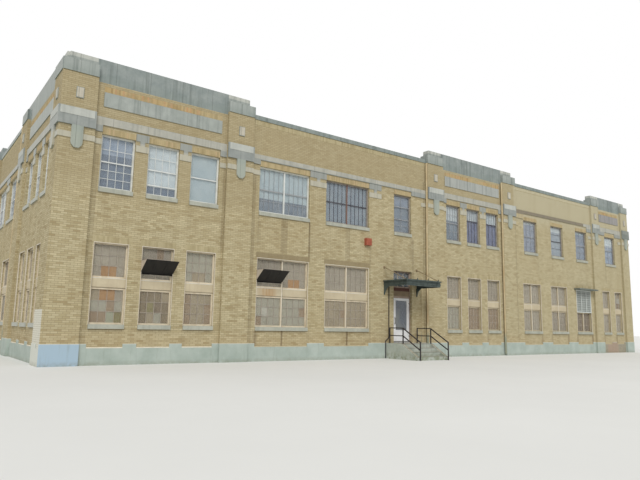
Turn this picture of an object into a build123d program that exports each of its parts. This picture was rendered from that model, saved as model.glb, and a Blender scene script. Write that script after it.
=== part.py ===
from build123d import *
from collections import namedtuple
import os

# A two-storey brick factory with cast stone trim, in millimetres.
# Model frame: the corner of the front left pier at ground level is the corner of the plan,
# +X runs along the front to the right, +Y into the building, +Z up.
# The finished pieces are moved so that the origin is under the middle of the whole thing.

# Plan. The front from left to right: corner pavilion, two wide bays, entrance bay,
# centre pavilion, plain stretch, end pavilion
front_length = 37650
pavilion_width = 7250
pier_width = 1150
entrance_bay_width = 3410
end_pavilion_width = 4800
end_pier_width = 900
pier_projection = 120
wall_thickness = 330

# Heights, each one measured up from the one before it
ground_floor_level = 690
lower_sill_rise = 630
lower_light_height = 1210
spandrel_height = 320
top_light_height = 1180

# Storeys, and the upper windows measured from the upper floor
lower_storey_height = 4160
upper_sill_rise = 1020
upper_window_height = 1860
upper_storey_height = 4050
parapet_height = 730

# Base course: it stands proud of the brick and drops under each window
plinth_drop = 140
plinth_projection = 15
plinth_joint = 0.4

# Slabs, the ground floor is solid down to the ground
upper_slab_thickness = 300
roof_slab_thickness = 300

# Windows, widths along the wall and how many stand in a row
triple_count = 3
triple_width = 1170
triple_gap = 460
centre_triple_width = 1090
centre_triple_gap = 520
wide_count = 2
wide_width = 2480
wide_gap = 870
wide_margin = 380
plain_width = 1750
plain_spacing = 2780
plain_shift = 175
plain_upper_width = 1340
end_light_count = 2
end_light_width = 960
end_light_gap = 640
back_count = 7

# Lights side by side in one frame
single_light = 1
paired_lights = 2

# Window frames, sills and spandrels
frame_setback = 100
frame_member = 60
frame_depth = 70
glass_thickness = 8
sill_height = 145
sill_projection = 45
spandrel_thickness = 15

# Entrance, placed from the left end of its bay
entrance_offset = 1770
entrance_width = 1200
over_door_width = 1150
door_setback = 120
jamb_width = 74
door_frame_depth = 110
leaf_height = 2060
leaf_thickness = 45
door_gap = 6
threshold_gap = 8
stile_width = 160
bottom_rail_height = 580
top_rail_height = 110
door_head_member = 90
head_panel_height = 400
transom_bottom_member = 60
handle_height = 1000
handle_length = 300
handle_standoff = 60
handle_size = 24
handle_edge_distance = 80

# Door hinges: a lug with a pin on the jamb, a bored lug on the leaf
hinge_lug_size = 16
hinge_lug_height = 35
hinge_pin_radius = 4
hinge_pin_length = 42
hinge_clearance = 0.3
hinge_plate_length = 45
hinge_plate_thickness = 4
hinge_pin_offset = 12
hinge_end_distance = 250

# Stoop and its railings of square tube
stoop_reach_left = 1110
stoop_width = 1970
landing_depth = 930
tread_depth = 300
riser_count = 4
cheek_width = 150
cheek_toe_height = 120
cheek_toe_run = 60
step_joint = 0.4
rail_height = 700
mid_rail_drop = 340
rail_size = 42
rail_inset = 100
foot_post_height = 800
rail_foot_run = 60
wall_post_offset = 60

# Canopy
canopy_reach_left = 1220
canopy_width = 2170
canopy_reach = 1360
canopy_rise = 2560
canopy_height = 280
canopy_roof_thickness = 40
fascia_thickness = 30
crown_projection = 40
crown_height = 60
bead_projection = 18
bead_height = 45
bead_rise = 95
finial_height = 90
finial_size = 44
finial_taper = 9
finial_inset = 60
finial_count = 4
bracket_height = 380
bracket_depth = 270
bracket_thickness = 60
bracket_edge = 26
bracket_bend_share = 0.35
tie_rise = 620
tie_size = 24
tie_front_inset = 70

# Cast stone belts, hoods and shields, measured up or down from the heads of the upper windows
pavilion_belt_rise = 300
pavilion_belt_height = 280
wide_belt_rise = 250
wide_belt_height = 210
plain_belt_rise = 380
plain_belt_height = 180
belt_projection = 40
hood_rise = 60
hood_height = 600
hood_projection = 60
shield_width = 370
shield_drop = 700
shield_straight_drop = 530
shield_foot_width = 150
shield_waist_share = 0.75
shield_thickness = 70
arm_drop = 380
arm_height = 190
arm_reach = 380
arm_thickness = 25
block_drop = 20
block_height = 260
stem_width = 170
stem_height = 150
foot_height = 230
lone_block_width = 750

# Parapet trim, measured up from the roof level
panel_drop = 210
panel_height = 510
panel_margin = 240
panel_thickness = 30
tablet_drop = 150
tablet_width = 240
tablet_height = 370

# Caps and copings, measured from the top of the parapet's brick
cap_bay_drop = 100
cap_lower_height = 430
cap_upper_height = 290
cap_overhang = 30
cap_inner_overhang = 40
cap_end_inset = 200
coping_height = 180
coping_overhang = 30

# On the wall
pipe_radius = 50
pipe_foot = 100
pipe_top_drop = 30
clip_rise = 210
clip_width = 40
clip_height = 60
drain_radius = 20
drain_inset = 290
drain_bend_rise = 240
drain_bend_drop = 150
drain_clearance = 2
alarm_offset = 2420
alarm_rise = 200
alarm_size = 320
alarm_depth = 150
hopper_drop = 470
hopper_reach = 620
hopper_thickness = 12
hopper_flange = 60
hopper_below_head = 500
louvre_depth = 60
louvre_count = 9
louvre_thickness = 16
louvre_blade_inset = 10
shade_reach = 400
shade_overhang = 220
shade_thickness = 90

# Worked out: planes and levels
bay_face = pier_projection
inner_face = bay_face + wall_thickness
frame_face = bay_face + frame_setback
plinth_face = bay_face - plinth_projection
plinth_level = ground_floor_level - plinth_drop
lower_sill_level = ground_floor_level + lower_sill_rise
lower_light_top = lower_sill_level + lower_light_height
spandrel_top = lower_light_top + spandrel_height
lower_head_level = spandrel_top + top_light_height
upper_floor_level = ground_floor_level + lower_storey_height
upper_sill_level = upper_floor_level + upper_sill_rise
upper_head_level = upper_sill_level + upper_window_height
roof_level = upper_floor_level + upper_storey_height
brick_top = roof_level + parapet_height
cap_bay_bottom = brick_top - cap_bay_drop
cap_step_level = brick_top + cap_lower_height
cap_top = cap_step_level + cap_upper_height

# Worked out: places along the front
wide_section_width = 2 * wide_margin + wide_count * wide_width + (wide_count - 1) * wide_gap
building_depth = 2 * pavilion_width + wide_section_width
entrance_bay_left = pavilion_width + wide_section_width
entrance_centre = entrance_bay_left + entrance_offset
entrance_left = entrance_centre - entrance_width / 2
entrance_right = entrance_centre + entrance_width / 2
centre_pavilion_left = entrance_bay_left + entrance_bay_width
plain_start = centre_pavilion_left + pavilion_width
end_pavilion_left = front_length - end_pavilion_width
far_pavilion_left = building_depth - pavilion_width
plain_count = max(1, round((end_pavilion_left - plain_start) / plain_spacing))

# Worked out: the entrance
stoop_left = entrance_centre - stoop_reach_left
stoop_right = stoop_left + stoop_width
landing_front = -landing_depth
flight_run = (riser_count - 1) * tread_depth
riser = ground_floor_level / riser_count
cheek_front = landing_front - flight_run - cheek_toe_run
rail_foot = cheek_front - rail_foot_run
door_face = bay_face + door_setback
leaf_left = entrance_left + jamb_width + door_gap
leaf_right = entrance_right - jamb_width - door_gap
leaf_bottom = ground_floor_level + threshold_gap
leaf_top = leaf_bottom + leaf_height
hinge_x = leaf_right + door_gap / 2
hinge_y = door_face - hinge_pin_offset
door_head_level = leaf_top + door_gap
transom_level = door_head_level + door_head_member + head_panel_height
canopy_left = entrance_centre - canopy_reach_left
canopy_right = canopy_left + canopy_width
canopy_front = -canopy_reach
canopy_bottom = ground_floor_level + canopy_rise
canopy_top = canopy_bottom + canopy_height
front_most = rail_foot - rail_size / 2
back_most = building_depth + cap_overhang

Window = namedtuple("Window", "left width bottom top lights")


def block(x_low, x_high, y_low, y_high, z_low, z_high):
    size = (x_high - x_low, y_high - y_low, z_high - z_low)
    return Pos(x_low, y_low, z_low) * Box(*size, align=(Align.MIN, Align.MIN, Align.MIN))


def upright(x, y, z_low, z_high, radius):
    return Pos(x, y, z_low) * Cylinder(radius, z_high - z_low, align=(Align.CENTER, Align.CENTER, Align.MIN))


def side_profile(points, x_low, x_high):
    # A face drawn as (y, z) points, pulled out along X
    face = make_face(Polyline(*[(x_low, y, z) for y, z in points], close=True))
    return extrude(face, x_high - x_low, dir=(1, 0, 0))


def front_profile(points, y_low, y_high):
    # A face drawn as (x, z) points, pulled out along Y
    face = make_face(Polyline(*[(x, y_low, z) for x, z in points], close=True))
    return extrude(face, y_high - y_low, dir=(0, 1, 0))


# Each wall is drawn as a front seen from outside, then turned to its side of the building


def on_front(shape):
    return Pos(0, 0, 0) * shape


def on_left(shape):
    return Pos(0, building_depth, 0) * Rot(0, 0, -90) * shape


def on_right(shape):
    return Pos(front_length, 0, 0) * Rot(0, 0, 90) * shape


def on_back(shape):
    return Pos(front_length, building_depth, 0) * Rot(0, 0, 180) * shape


# Window rows


def row(centre, width, gap, count):
    first = centre - (count * width + (count - 1) * gap) / 2
    return [first + i * (width + gap) for i in range(count)]


def between(lefts, width):
    return [(a + width, b) for a, b in zip(lefts, lefts[1:])]


def lower(lefts, width, lights):
    return [Window(x, width, lower_sill_level, lower_head_level, lights) for x in lefts]


def upper(lefts, width, lights):
    return [Window(x, width, upper_sill_level, upper_head_level, lights) for x in lefts]


corner_lefts = row(pavilion_width / 2, triple_width, triple_gap, triple_count)
wide_lefts = row(pavilion_width + wide_section_width / 2, wide_width, wide_gap, wide_count)
centre_of_pavilion = centre_pavilion_left + pavilion_width / 2
centre_lefts = row(centre_of_pavilion, centre_triple_width, centre_triple_gap, triple_count)
plain_pitch = (end_pavilion_left - plain_start) / plain_count
plain_centre = (end_pavilion_left + plain_start) / 2 + plain_shift
plain_lefts = row(plain_centre, plain_width, plain_pitch - plain_width, plain_count)
plain_upper_lefts = row(plain_centre, plain_upper_width, plain_pitch - plain_upper_width, plain_count)
end_centre = end_pavilion_left + end_pavilion_width / 2
end_lefts = row(end_centre, end_light_width, end_light_gap, end_light_count)
far_lefts = [far_pavilion_left + x for x in corner_lefts]

corner_lower = lower(corner_lefts, triple_width, single_light)
wide_lower = lower(wide_lefts, wide_width, paired_lights)
centre_lower = lower(centre_lefts, centre_triple_width, single_light)
plain_lower = lower(plain_lefts, plain_width, paired_lights)
end_lower = lower(end_lefts, end_light_width, single_light)
front_lower = corner_lower + wide_lower + centre_lower + plain_lower + end_lower

corner_upper = upper(corner_lefts, triple_width, single_light)
wide_upper = upper(wide_lefts, wide_width, paired_lights)
over_door_upper = upper([entrance_centre - over_door_width / 2], over_door_width, single_light)
front_upper = corner_upper + wide_upper + over_door_upper
front_upper += upper(centre_lefts, centre_triple_width, single_light)
front_upper += upper(plain_upper_lefts, plain_upper_width, single_light)
front_upper += upper([end_centre - plain_upper_width / 2], plain_upper_width, single_light)

side_lower = corner_lower + wide_lower + lower(far_lefts, triple_width, single_light)
side_upper = corner_upper + wide_upper + upper(far_lefts, triple_width, single_light)

# Places for the stone blocks between the heads of the upper windows
corner_blocks = between(corner_lefts, triple_width)
wide_blocks = between(wide_lefts, wide_width)
wide_right = wide_lefts[-1] + wide_width
front_blocks = corner_blocks + wide_blocks + [(wide_right, wide_right + lone_block_width)]
front_blocks += between(centre_lefts, centre_triple_width)
side_blocks = corner_blocks + wide_blocks + between(far_lefts, triple_width)

# The back is plain: the same narrow window at even spaces on both storeys
back_gap = (front_length - 2 * pier_width - back_count * plain_upper_width) / (back_count + 1)
back_lefts = row(front_length / 2, plain_upper_width, back_gap, back_count)
back_lower = lower(back_lefts, plain_upper_width, single_light)
back_upper = upper(back_lefts, plain_upper_width, single_light)

# Pavilions of each wall: left end, width, pier width. The side walls' end pavilions show
# on the back as one pier at each corner.
front_pavilions = [
    (0, pavilion_width, pier_width),
    (centre_pavilion_left, pavilion_width, pier_width),
    (end_pavilion_left, end_pavilion_width, end_pier_width),
]
side_pavilions = [(0, pavilion_width, pier_width), (far_pavilion_left, pavilion_width, pier_width)]
back_pavilions = [(0, pier_width, pier_width), (front_length - pier_width, pier_width, pier_width)]

# Belt courses of the stretches between pavilions: rise over the window heads, height
wide_belt = (wide_belt_rise, wide_belt_height)
plain_belt = (plain_belt_rise, plain_belt_height)

Side = namedtuple("Side", "name turn length lower upper pavilions belts block_places")
front_side = Side("front", on_front, front_length, front_lower, front_upper, front_pavilions,
                  [wide_belt, plain_belt], front_blocks)
side_plan = (building_depth, side_lower, side_upper, side_pavilions, [wide_belt], side_blocks)
left_side = Side("left_side", on_left, *side_plan)
right_side = Side("right_side", on_right, *side_plan)
back_side = Side("back", on_back, front_length, back_lower, back_upper, back_pavilions, [plain_belt], [])
trimmed_sides = [front_side, left_side, right_side]
all_sides = trimmed_sides + [back_side]


def piers(pavilions):
    # Left and right end of each projecting pier
    spans = []
    for left, width, pier in pavilions:
        spans.append((left, left + pier))
        if width > pier:
            spans.append((left + width - pier, left + width))
    return spans


def stretches(pavilions):
    # The wall between pavilions, where the low coping runs
    inner = [edge for left, width, _ in pavilions for edge in (left, left + width)][1:-1]
    return list(zip(inner[::2], inner[1::2]))


def spaces(windows, start, end):
    # The brickwork to the left and right of each window of a row
    edges = [start]
    for w in sorted(windows):
        edges += [w.left, w.left + w.width]
    edges.append(end)
    return list(zip(edges[::2], edges[1::2]))


# Brick walls


def window_opening(w):
    # From the underside of the sill to the head, right through the wall
    return block(w.left, w.left + w.width, 0, inner_face, w.bottom - sill_height, w.top)


def window_sill(w):
    return block(w.left, w.left + w.width, bay_face - sill_projection, inner_face,
                 w.bottom - sill_height, w.bottom)


def wall(x_low, x_high, side):
    # Brickwork between two places along a wall, with its piers and its parapet
    solid = block(x_low, x_high, bay_face, inner_face, plinth_level, brick_top)
    for left, right in piers(side.pavilions):
        left, right = max(left, x_low), min(right, x_high)
        if right > left:
            solid += block(left, right, 0, bay_face, ground_floor_level, brick_top)
    for left, width, pier in side.pavilions:
        if width > pier:
            solid -= block(left + pier, left + width - pier, 0, inner_face, cap_bay_bottom, brick_top)
    for w in side.lower + side.upper:
        if w.left < x_high and w.left + w.width > x_low:
            solid -= window_opening(w)
    return solid


def front_wall_over_door():
    solid = block(entrance_left, entrance_right, bay_face, inner_face, lower_head_level, brick_top)
    return solid - window_opening(over_door_upper[0])


def side_wall(side):
    # Between the inner faces of the front and back walls
    return side.turn(wall(inner_face, building_depth - inner_face, side))


# Base course


def plinth_bar(side, x_low, x_high):
    # High between the windows, low under each of them, with pedestals under the piers
    bar = block(x_low, x_high, plinth_face, inner_face, 0, plinth_level)
    for left, right in spaces(side.lower, x_low, x_high):
        bar += block(left, right, plinth_face, bay_face, plinth_level, ground_floor_level)
    for left, right in piers(side.pavilions):
        left, right = max(left - plinth_projection, x_low), min(right + plinth_projection, x_high)
        if right > left:
            bar += block(left, right, -plinth_projection, plinth_face, 0, ground_floor_level)
            bar += block(left, right, plinth_face, bay_face, plinth_level, ground_floor_level)
    return side.turn(bar)


def plinth():
    # One bar under each wall, and the threshold under the entrance
    long_start = -plinth_projection
    long_end = front_length + plinth_projection
    front = plinth_bar(front_side, long_start, long_end)
    front += block(entrance_left, entrance_right, plinth_face, inner_face, plinth_level, ground_floor_level)
    back = plinth_bar(back_side, long_start, long_end)
    side_start = inner_face + plinth_joint
    sides = [plinth_bar(side, side_start, building_depth - side_start) for side in (left_side, right_side)]
    return [front, back] + sides


def slab(top, thickness):
    return block(inner_face, front_length - inner_face, inner_face, building_depth - inner_face,
                 top - thickness, top)


# Caps and copings


def pavilion_cap(left, width, pier):
    # Stepped cap: blocks over the piers, a long course between them, an upper course set in at the ends
    right = left + width
    back = inner_face + cap_inner_overhang
    cap = block(left, right, bay_face, back, brick_top, cap_step_level)
    cap += block(left + pier, right - pier, bay_face, inner_face, cap_bay_bottom, brick_top)
    cap += block(left, left + pier, -cap_overhang, bay_face, brick_top, cap_step_level)
    cap += block(right - pier, right, -cap_overhang, bay_face, brick_top, cap_step_level)
    cap += block(left + cap_end_inset, right - cap_end_inset, bay_face, back, cap_step_level, cap_top)
    return cap


def cap_return(left):
    # A cap that turns the corner and covers one pier of the back
    right = left + pier_width
    back = inner_face + cap_inner_overhang
    cap = block(left, right, -cap_overhang, back, brick_top, cap_step_level)
    cap += block(left + cap_end_inset, right - cap_end_inset, bay_face, back, cap_step_level, cap_top)
    return on_back(cap)


def pavilion_caps():
    near = pavilion_cap(0, pavilion_width, pier_width)
    far = pavilion_cap(far_pavilion_left, pavilion_width, pier_width)
    corner = near + on_left(far)
    centre = pavilion_cap(centre_pavilion_left, pavilion_width, pier_width)
    end = pavilion_cap(end_pavilion_left, end_pavilion_width, end_pier_width) + on_right(near)
    back_left = on_left(near) + cap_return(front_length - pier_width)
    back_right = on_right(far) + cap_return(0)
    return [corner, centre, end, back_left, back_right]


def coping(left, right):
    return block(left, right, bay_face - coping_overhang, inner_face + coping_overhang,
                 brick_top, brick_top + coping_height)


def copings():
    return [side.turn(coping(a, b)) for side in all_sides for a, b in stretches(side.pavilions)]


# Belt courses and the trim of the window heads


def fused(shapes):
    # Pieces that meet become one solid
    whole = shapes[0]
    for shape in shapes[1:]:
        whole += shape
    return whole.solids()


def pier_beside(place, side):
    # The pier that stands in a space between two windows, or None
    for a, b in piers(side.pavilions):
        if place[0] <= a and b <= place[1]:
            return a, b
    return None


def over_corner(left, right, side, thickness):
    # At the front's two ends a band runs on over the edge of the band on the side wall
    start = left - thickness if side is front_side and left == 0 else left
    end = right + thickness if side is front_side and right == side.length else right
    return start, end


def belts(side):
    # Left end, right end, rise over the window heads and height of each stretch of belt
    plans = [(a, b, rise, height) for (a, b), (rise, height) in zip(stretches(side.pavilions), side.belts)]
    for left, width, pier in side.pavilions:
        if width > pier:
            plans.append((left + pier, left + width - pier, pavilion_belt_rise, pavilion_belt_height))
    return plans


def belt_course():
    # The belts, with wings under them that reach from each pier to the next window
    pieces = []
    for side in all_sides:
        bands = []
        for left, right, rise, height in belts(side):
            low = upper_head_level + rise
            bands.append(block(left, right, bay_face - belt_projection, bay_face, low, low + height))
            if side in trimmed_sides:
                bands += hood_wings(side, left, right, low)
        pieces += [side.turn(band) for band in fused(bands)]
    return pieces


def hood_wings(side, left, right, top):
    wings = []
    for place in spaces(side.upper, 0, side.length):
        pier = pier_beside(place, side)
        if pier:
            for a, b in ((place[0], pier[0]), (pier[1], place[1])):
                if left <= a < b <= right:
                    wings.append(block(a, b, bay_face - belt_projection, bay_face,
                                       upper_head_level + hood_rise, top))
    return wings


def pier_hoods():
    # A deep block on the face of each pier
    low = upper_head_level + hood_rise
    shapes = []
    for side in trimmed_sides:
        for left, right in piers(side.pavilions):
            start, end = over_corner(left, right, side, hood_projection)
            shapes.append(side.turn(block(start, end, -hood_projection, 0, low, low + hood_height)))
    return fused(shapes)


def shield(x):
    # Straight sides and a foot that draws in
    half = shield_width / 2
    foot = shield_foot_width / 2
    waist = foot + (half - foot) * shield_waist_share
    top = upper_head_level + hood_rise
    shoulder = upper_head_level - shield_straight_drop
    low = upper_head_level - shield_drop
    left = [(x - half, top), (x - half, shoulder), (x - waist, (shoulder + low) / 2), (x - foot, low)]
    right = [(2 * x - a, b) for a, b in reversed(left)]
    return front_profile(left + right, -shield_thickness, 0)


def shields():
    # Each shield stands on a course that crosses its pier
    low = upper_head_level - arm_drop
    shapes = []
    for side in trimmed_sides:
        for left, right in piers(side.pavilions):
            start, end = over_corner(left, right, side, arm_thickness)
            course = block(start, end, -arm_thickness, 0, low, low + arm_height)
            shapes.append(side.turn(course + shield((left + right) / 2)))
    return fused(shapes)


def wall_courses(side):
    # The same course goes on over the wall on both sides of each pier
    low = upper_head_level - arm_drop
    pieces = []
    for place in spaces(side.upper, 0, side.length):
        pier = pier_beside(place, side)
        if pier:
            left, right = pier
            for a, b in ((max(place[0], left - arm_reach), left), (right, min(place[1], right + arm_reach))):
                if b > a:
                    pieces.append(block(a, b, bay_face - arm_thickness, bay_face, low, low + arm_height))
    return [side.turn(piece) for piece in pieces]


def head_block(left, right):
    # An I shape between two windows: a block, a stem and a foot course
    x = (left + right) / 2
    stem = stem_width / 2
    under = upper_head_level - block_drop
    top = under + block_height
    foot = under - stem_height
    low = foot - foot_height
    outline = [(left, top), (left, under), (x - stem, under), (x - stem, foot), (left, foot), (left, low)]
    outline += [(2 * x - a, b) for a, b in reversed(outline)]
    return front_profile(outline, bay_face - arm_thickness, bay_face)


def head_trim():
    pieces = list(shields())
    for side in trimmed_sides:
        pieces += wall_courses(side)
        pieces += [side.turn(head_block(a, b)) for a, b in side.block_places]
    return pieces


def parapet_panels():
    # A long panel over each pavilion's windows and a small tablet on each pier
    panel_bottom = roof_level - panel_drop
    tablet_bottom = roof_level - tablet_drop
    pieces = []
    for side in trimmed_sides:
        for left, width, pier in side.pavilions:
            panel = block(left + pier + panel_margin, left + width - pier - panel_margin,
                          bay_face - panel_thickness, bay_face, panel_bottom, panel_bottom + panel_height)
            pieces.append(side.turn(panel))
        for left, right in piers(side.pavilions):
            x = (left + right) / 2 - tablet_width / 2
            tablet = block(x, x + tablet_width, -panel_thickness, 0,
                           tablet_bottom, tablet_bottom + tablet_height)
            pieces.append(side.turn(tablet))
    return pieces


# Windows


def window_frame(w):
    # One frame fills the opening. In a lower window a deep rail parts the two tiers of lights.
    tiers = [(w.bottom, w.top)]
    if w.bottom == lower_sill_level:
        tiers = [(w.bottom, lower_light_top), (spandrel_top, w.top)]
    back = frame_face + frame_depth
    middle = frame_face + frame_depth / 2
    frame = block(w.left, w.left + w.width, frame_face, back, w.bottom, w.top)
    light = (w.width - (w.lights + 1) * frame_member) / w.lights
    panes = []
    for low, high in tiers:
        low, high = low + frame_member, high - frame_member
        for i in range(w.lights):
            x = w.left + frame_member + i * (light + frame_member)
            frame -= block(x, x + light, frame_face, back, low, high)
            panes.append(block(x, x + light, middle, middle + glass_thickness, low, high))
    return frame, panes


def spandrel(w):
    return block(w.left, w.left + w.width, frame_face - spandrel_thickness, frame_face,
                 lower_light_top, spandrel_top)


# Entrance


def door_frame():
    # Jambs, head, panel over the door and the frame of the light above it, in the wall opening
    back = door_face + door_frame_depth
    left = entrance_left + jamb_width
    right = entrance_right - jamb_width
    frame = block(entrance_left, entrance_right, door_face, back, ground_floor_level, lower_head_level)
    frame -= block(left, right, door_face, back, ground_floor_level, door_head_level)
    frame -= block(left, right, door_face, back, transom_level + transom_bottom_member,
                   lower_head_level - frame_member)
    return frame


def transom_glass():
    middle = door_face + door_frame_depth / 2
    return block(entrance_left + jamb_width, entrance_right - jamb_width, middle, middle + glass_thickness,
                 transom_level + transom_bottom_member, lower_head_level - frame_member)


def front_door():
    leaf = block(leaf_left, leaf_right, door_face, door_face + leaf_thickness, leaf_bottom, leaf_top)
    leaf -= block(leaf_left + stile_width, leaf_right - stile_width, door_face, door_face + leaf_thickness,
                  leaf_bottom + bottom_rail_height, leaf_top - top_rail_height)
    return leaf


def door_glass():
    face = door_face + leaf_thickness / 2 - glass_thickness / 2
    return block(leaf_left + stile_width, leaf_right - stile_width, face, face + glass_thickness,
                 leaf_bottom + bottom_rail_height, leaf_top - top_rail_height)


def door_handle():
    # A pull bar on two stubs, on the stile away from the hinges
    x = leaf_left + handle_edge_distance
    front = door_face - handle_standoff
    low = leaf_bottom + handle_height - handle_length / 2
    high = low + handle_length
    half = handle_size / 2
    bar = block(x - half, x + half, front - half, front + half, low, high)
    for z in (low, high - handle_size):
        bar += block(x - half, x + half, front, door_face, z, z + handle_size)
    return bar


def hinge_lug(z):
    half = hinge_lug_size / 2
    return block(hinge_x - half, hinge_x + half, hinge_y - half, hinge_y + half, z, z + hinge_lug_height)


def fixed_hinge(z):
    # Plate on the jamb, lug out to the axis, and the pin that stands on it
    hinge = hinge_lug(z) + block(hinge_x, hinge_x + hinge_plate_length, door_face - hinge_plate_thickness,
                                 door_face, z, z + hinge_lug_height)
    return hinge + upright(hinge_x, hinge_y, z + hinge_lug_height, z + hinge_lug_height + hinge_pin_length,
                           hinge_pin_radius)


def moving_hinge(z):
    # Plate on the leaf and a lug bored for the pin, resting just over the fixed lug
    low = z + hinge_lug_height + hinge_clearance
    hinge = hinge_lug(low) + block(hinge_x - hinge_plate_length, hinge_x, door_face - hinge_plate_thickness,
                                   door_face, low, low + hinge_lug_height)
    return hinge - upright(hinge_x, hinge_y, low, low + hinge_lug_height, hinge_pin_radius + hinge_clearance)


def landing():
    return block(stoop_left + cheek_width, stoop_right - cheek_width, landing_front, plinth_face,
                 0, ground_floor_level)


def entrance_steps():
    steps = []
    for i in range(riser_count - 1):
        back = landing_front - i * tread_depth - step_joint
        front = landing_front - (i + 1) * tread_depth
        steps.append(block(stoop_left + cheek_width, stoop_right - cheek_width, front, back,
                           0, ground_floor_level - (i + 1) * riser))
    return steps


def cheek(x):
    points = [(plinth_face, 0), (plinth_face, ground_floor_level), (landing_front, ground_floor_level),
              (cheek_front, cheek_toe_height), (cheek_front, 0)]
    return side_profile(points, x, x + cheek_width)


def railing(x):
    # Square tube: three posts, a top rail and a middle rail, level along the landing and then
    # down the flight
    x_low, x_high = x - rail_size / 2, x + rail_size / 2
    top = ground_floor_level + rail_height
    wall_post = -wall_post_offset
    landing_post = landing_front + rail_size / 2
    slope_height = rail_size * (1 + ((top - foot_post_height) / (landing_post - rail_foot)) ** 2) ** 0.5
    parts = []
    for y, low, high in ((wall_post, ground_floor_level, top), (landing_post, ground_floor_level, top),
                         (rail_foot, 0, foot_post_height)):
        parts.append(block(x_low, x_high, y - rail_size / 2, y + rail_size / 2, low, high))
    for drop in (0, mid_rail_drop):
        parts.append(block(x_low, x_high, landing_post, wall_post, top - drop - rail_size, top - drop))
        high_end = top - drop
        low_end = foot_post_height - drop
        slope = [(landing_post, high_end), (rail_foot, low_end),
                 (rail_foot, low_end - slope_height), (landing_post, high_end - slope_height)]
        parts.append(side_profile(slope, x_low, x_high))
    return fused(parts)[0]


# Canopy


def canopy_layer(outset, low, high):
    return block(canopy_left - outset, canopy_right + outset, canopy_front - outset, bay_face, low, high)


def canopy_roof():
    # A metal tray with a crown and a bead round its fascia, open underneath
    bead_level = canopy_bottom + bead_rise
    tray = canopy_layer(0, canopy_bottom, canopy_top)
    tray += canopy_layer(crown_projection, canopy_top - crown_height, canopy_top)
    tray += canopy_layer(bead_projection, bead_level, bead_level + bead_height)
    return tray - canopy_layer(-fascia_thickness, canopy_bottom, canopy_top - canopy_roof_thickness)


def canopy_bracket(x):
    # A quarter curve from the wall plate out to the end of the arm
    low = canopy_bottom - bracket_height
    wall_edge = bay_face - bracket_edge
    tip = bay_face - bracket_depth
    arm_under = canopy_bottom - bracket_edge
    bend = bracket_bend_share
    middle = (wall_edge + (tip - wall_edge) * bend, arm_under + (low - arm_under) * bend)
    edges = [Line((x, bay_face, low), (x, bay_face, canopy_bottom)),
             Line((x, bay_face, canopy_bottom), (x, tip, canopy_bottom)),
             Line((x, tip, canopy_bottom), (x, tip, arm_under)),
             ThreePointArc((x, tip, arm_under), (x, *middle), (x, wall_edge, low)),
             Line((x, wall_edge, low), (x, bay_face, low))]
    return extrude(make_face(edges), bracket_thickness, dir=(1, 0, 0))


def canopy_finials():
    # Small tapered spikes along the front and one half way along each end
    left = canopy_left + finial_inset
    right = canopy_right - finial_inset
    front = canopy_front + finial_inset
    middle = (front + bay_face) / 2
    spots = [(left + i * (right - left) / (finial_count - 1), front) for i in range(finial_count)]
    spots += [(left, middle), (right, middle)]
    base = Rectangle(finial_size, finial_size)
    return [extrude(Pos(x, y, canopy_top) * base, finial_height, taper=finial_taper) for x, y in spots]


def tie_rods():
    # Square bars from the wall down to the front of the canopy
    high = canopy_top + tie_rise
    front = canopy_front + tie_front_inset
    rods = []
    for x in (canopy_left + tie_size, canopy_right - tie_size):
        way = Vector(0, front - bay_face, canopy_top - high)
        spare = way.normalized() * tie_size
        start = Vector(x, bay_face, high) - spare
        bar = Plane(origin=start, x_dir=(1, 0, 0), z_dir=way) * Box(
            tie_size, tie_size, way.length + 2 * tie_size, align=(Align.CENTER, Align.CENTER, Align.MIN))
        room = block(x - tie_size, x + tie_size, canopy_front, bay_face, canopy_top, high + tie_size)
        rods.append(bar & room)
    return rods


def canopy_drain():
    # Down the wall, then out past the stoop's cheek and down to the ground
    x = canopy_left + drain_inset
    foot_x = stoop_left - drain_clearance - drain_radius
    y = plinth_face - drain_radius
    bend = ground_floor_level + drain_bend_rise
    path = Polyline((x, y, canopy_bottom), (x, y, bend), (foot_x, y, bend - drain_bend_drop), (foot_x, y, 0))
    section = Plane(origin=(x, y, canopy_bottom), z_dir=(0, 0, -1)) * Circle(drain_radius)
    return sweep(section, path=path, transition=Transition.RIGHT)


# On the wall


def downpipe(x):
    # Stands off the wall by the belt course that it passes, held by clips
    y = bay_face - belt_projection - pipe_radius
    pipe = upright(x, y, pipe_foot, brick_top - pipe_top_drop, pipe_radius)
    for level in (ground_floor_level, upper_floor_level, roof_level):
        z = level + clip_rise
        pipe += block(x - clip_width / 2, x + clip_width / 2, y, bay_face, z, z + clip_height)
    return pipe


def downpipes():
    # One beside each of three piers
    clear = plinth_projection + pipe_radius
    places = [centre_pavilion_left - clear, plain_start - pier_width - clear]
    return [downpipe(x) for x in places] + [on_left(downpipe(far_pavilion_left - clear))]


def vent_hopper(x_low, x_high):
    # Sheet metal: a front plate that leans out towards its top, two cheeks and a flange at its foot
    top = lower_head_level - hopper_below_head
    foot = top - hopper_drop
    lip = frame_face - hopper_reach
    rise = hopper_thickness * (hopper_reach ** 2 + hopper_drop ** 2) ** 0.5 / hopper_reach
    run = rise * hopper_reach / hopper_drop
    hood = side_profile([(frame_face, top), (frame_face, foot), (lip, top)], x_low, x_high)
    hood -= side_profile([(frame_face, top), (frame_face, foot + rise), (lip + run, top)],
                         x_low + hopper_thickness, x_high - hopper_thickness)
    return hood + block(x_low, x_high, frame_face - hopper_flange, frame_face, foot, foot + hopper_thickness)


def vent_hoppers():
    # Over the second window, and over the left half of the first wide one
    narrow = corner_lower[1]
    wide = wide_lower[0]
    return [vent_hopper(narrow.left, narrow.left + narrow.width),
            vent_hopper(wide.left, wide.left + (wide.width - frame_member) / 2)]


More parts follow.
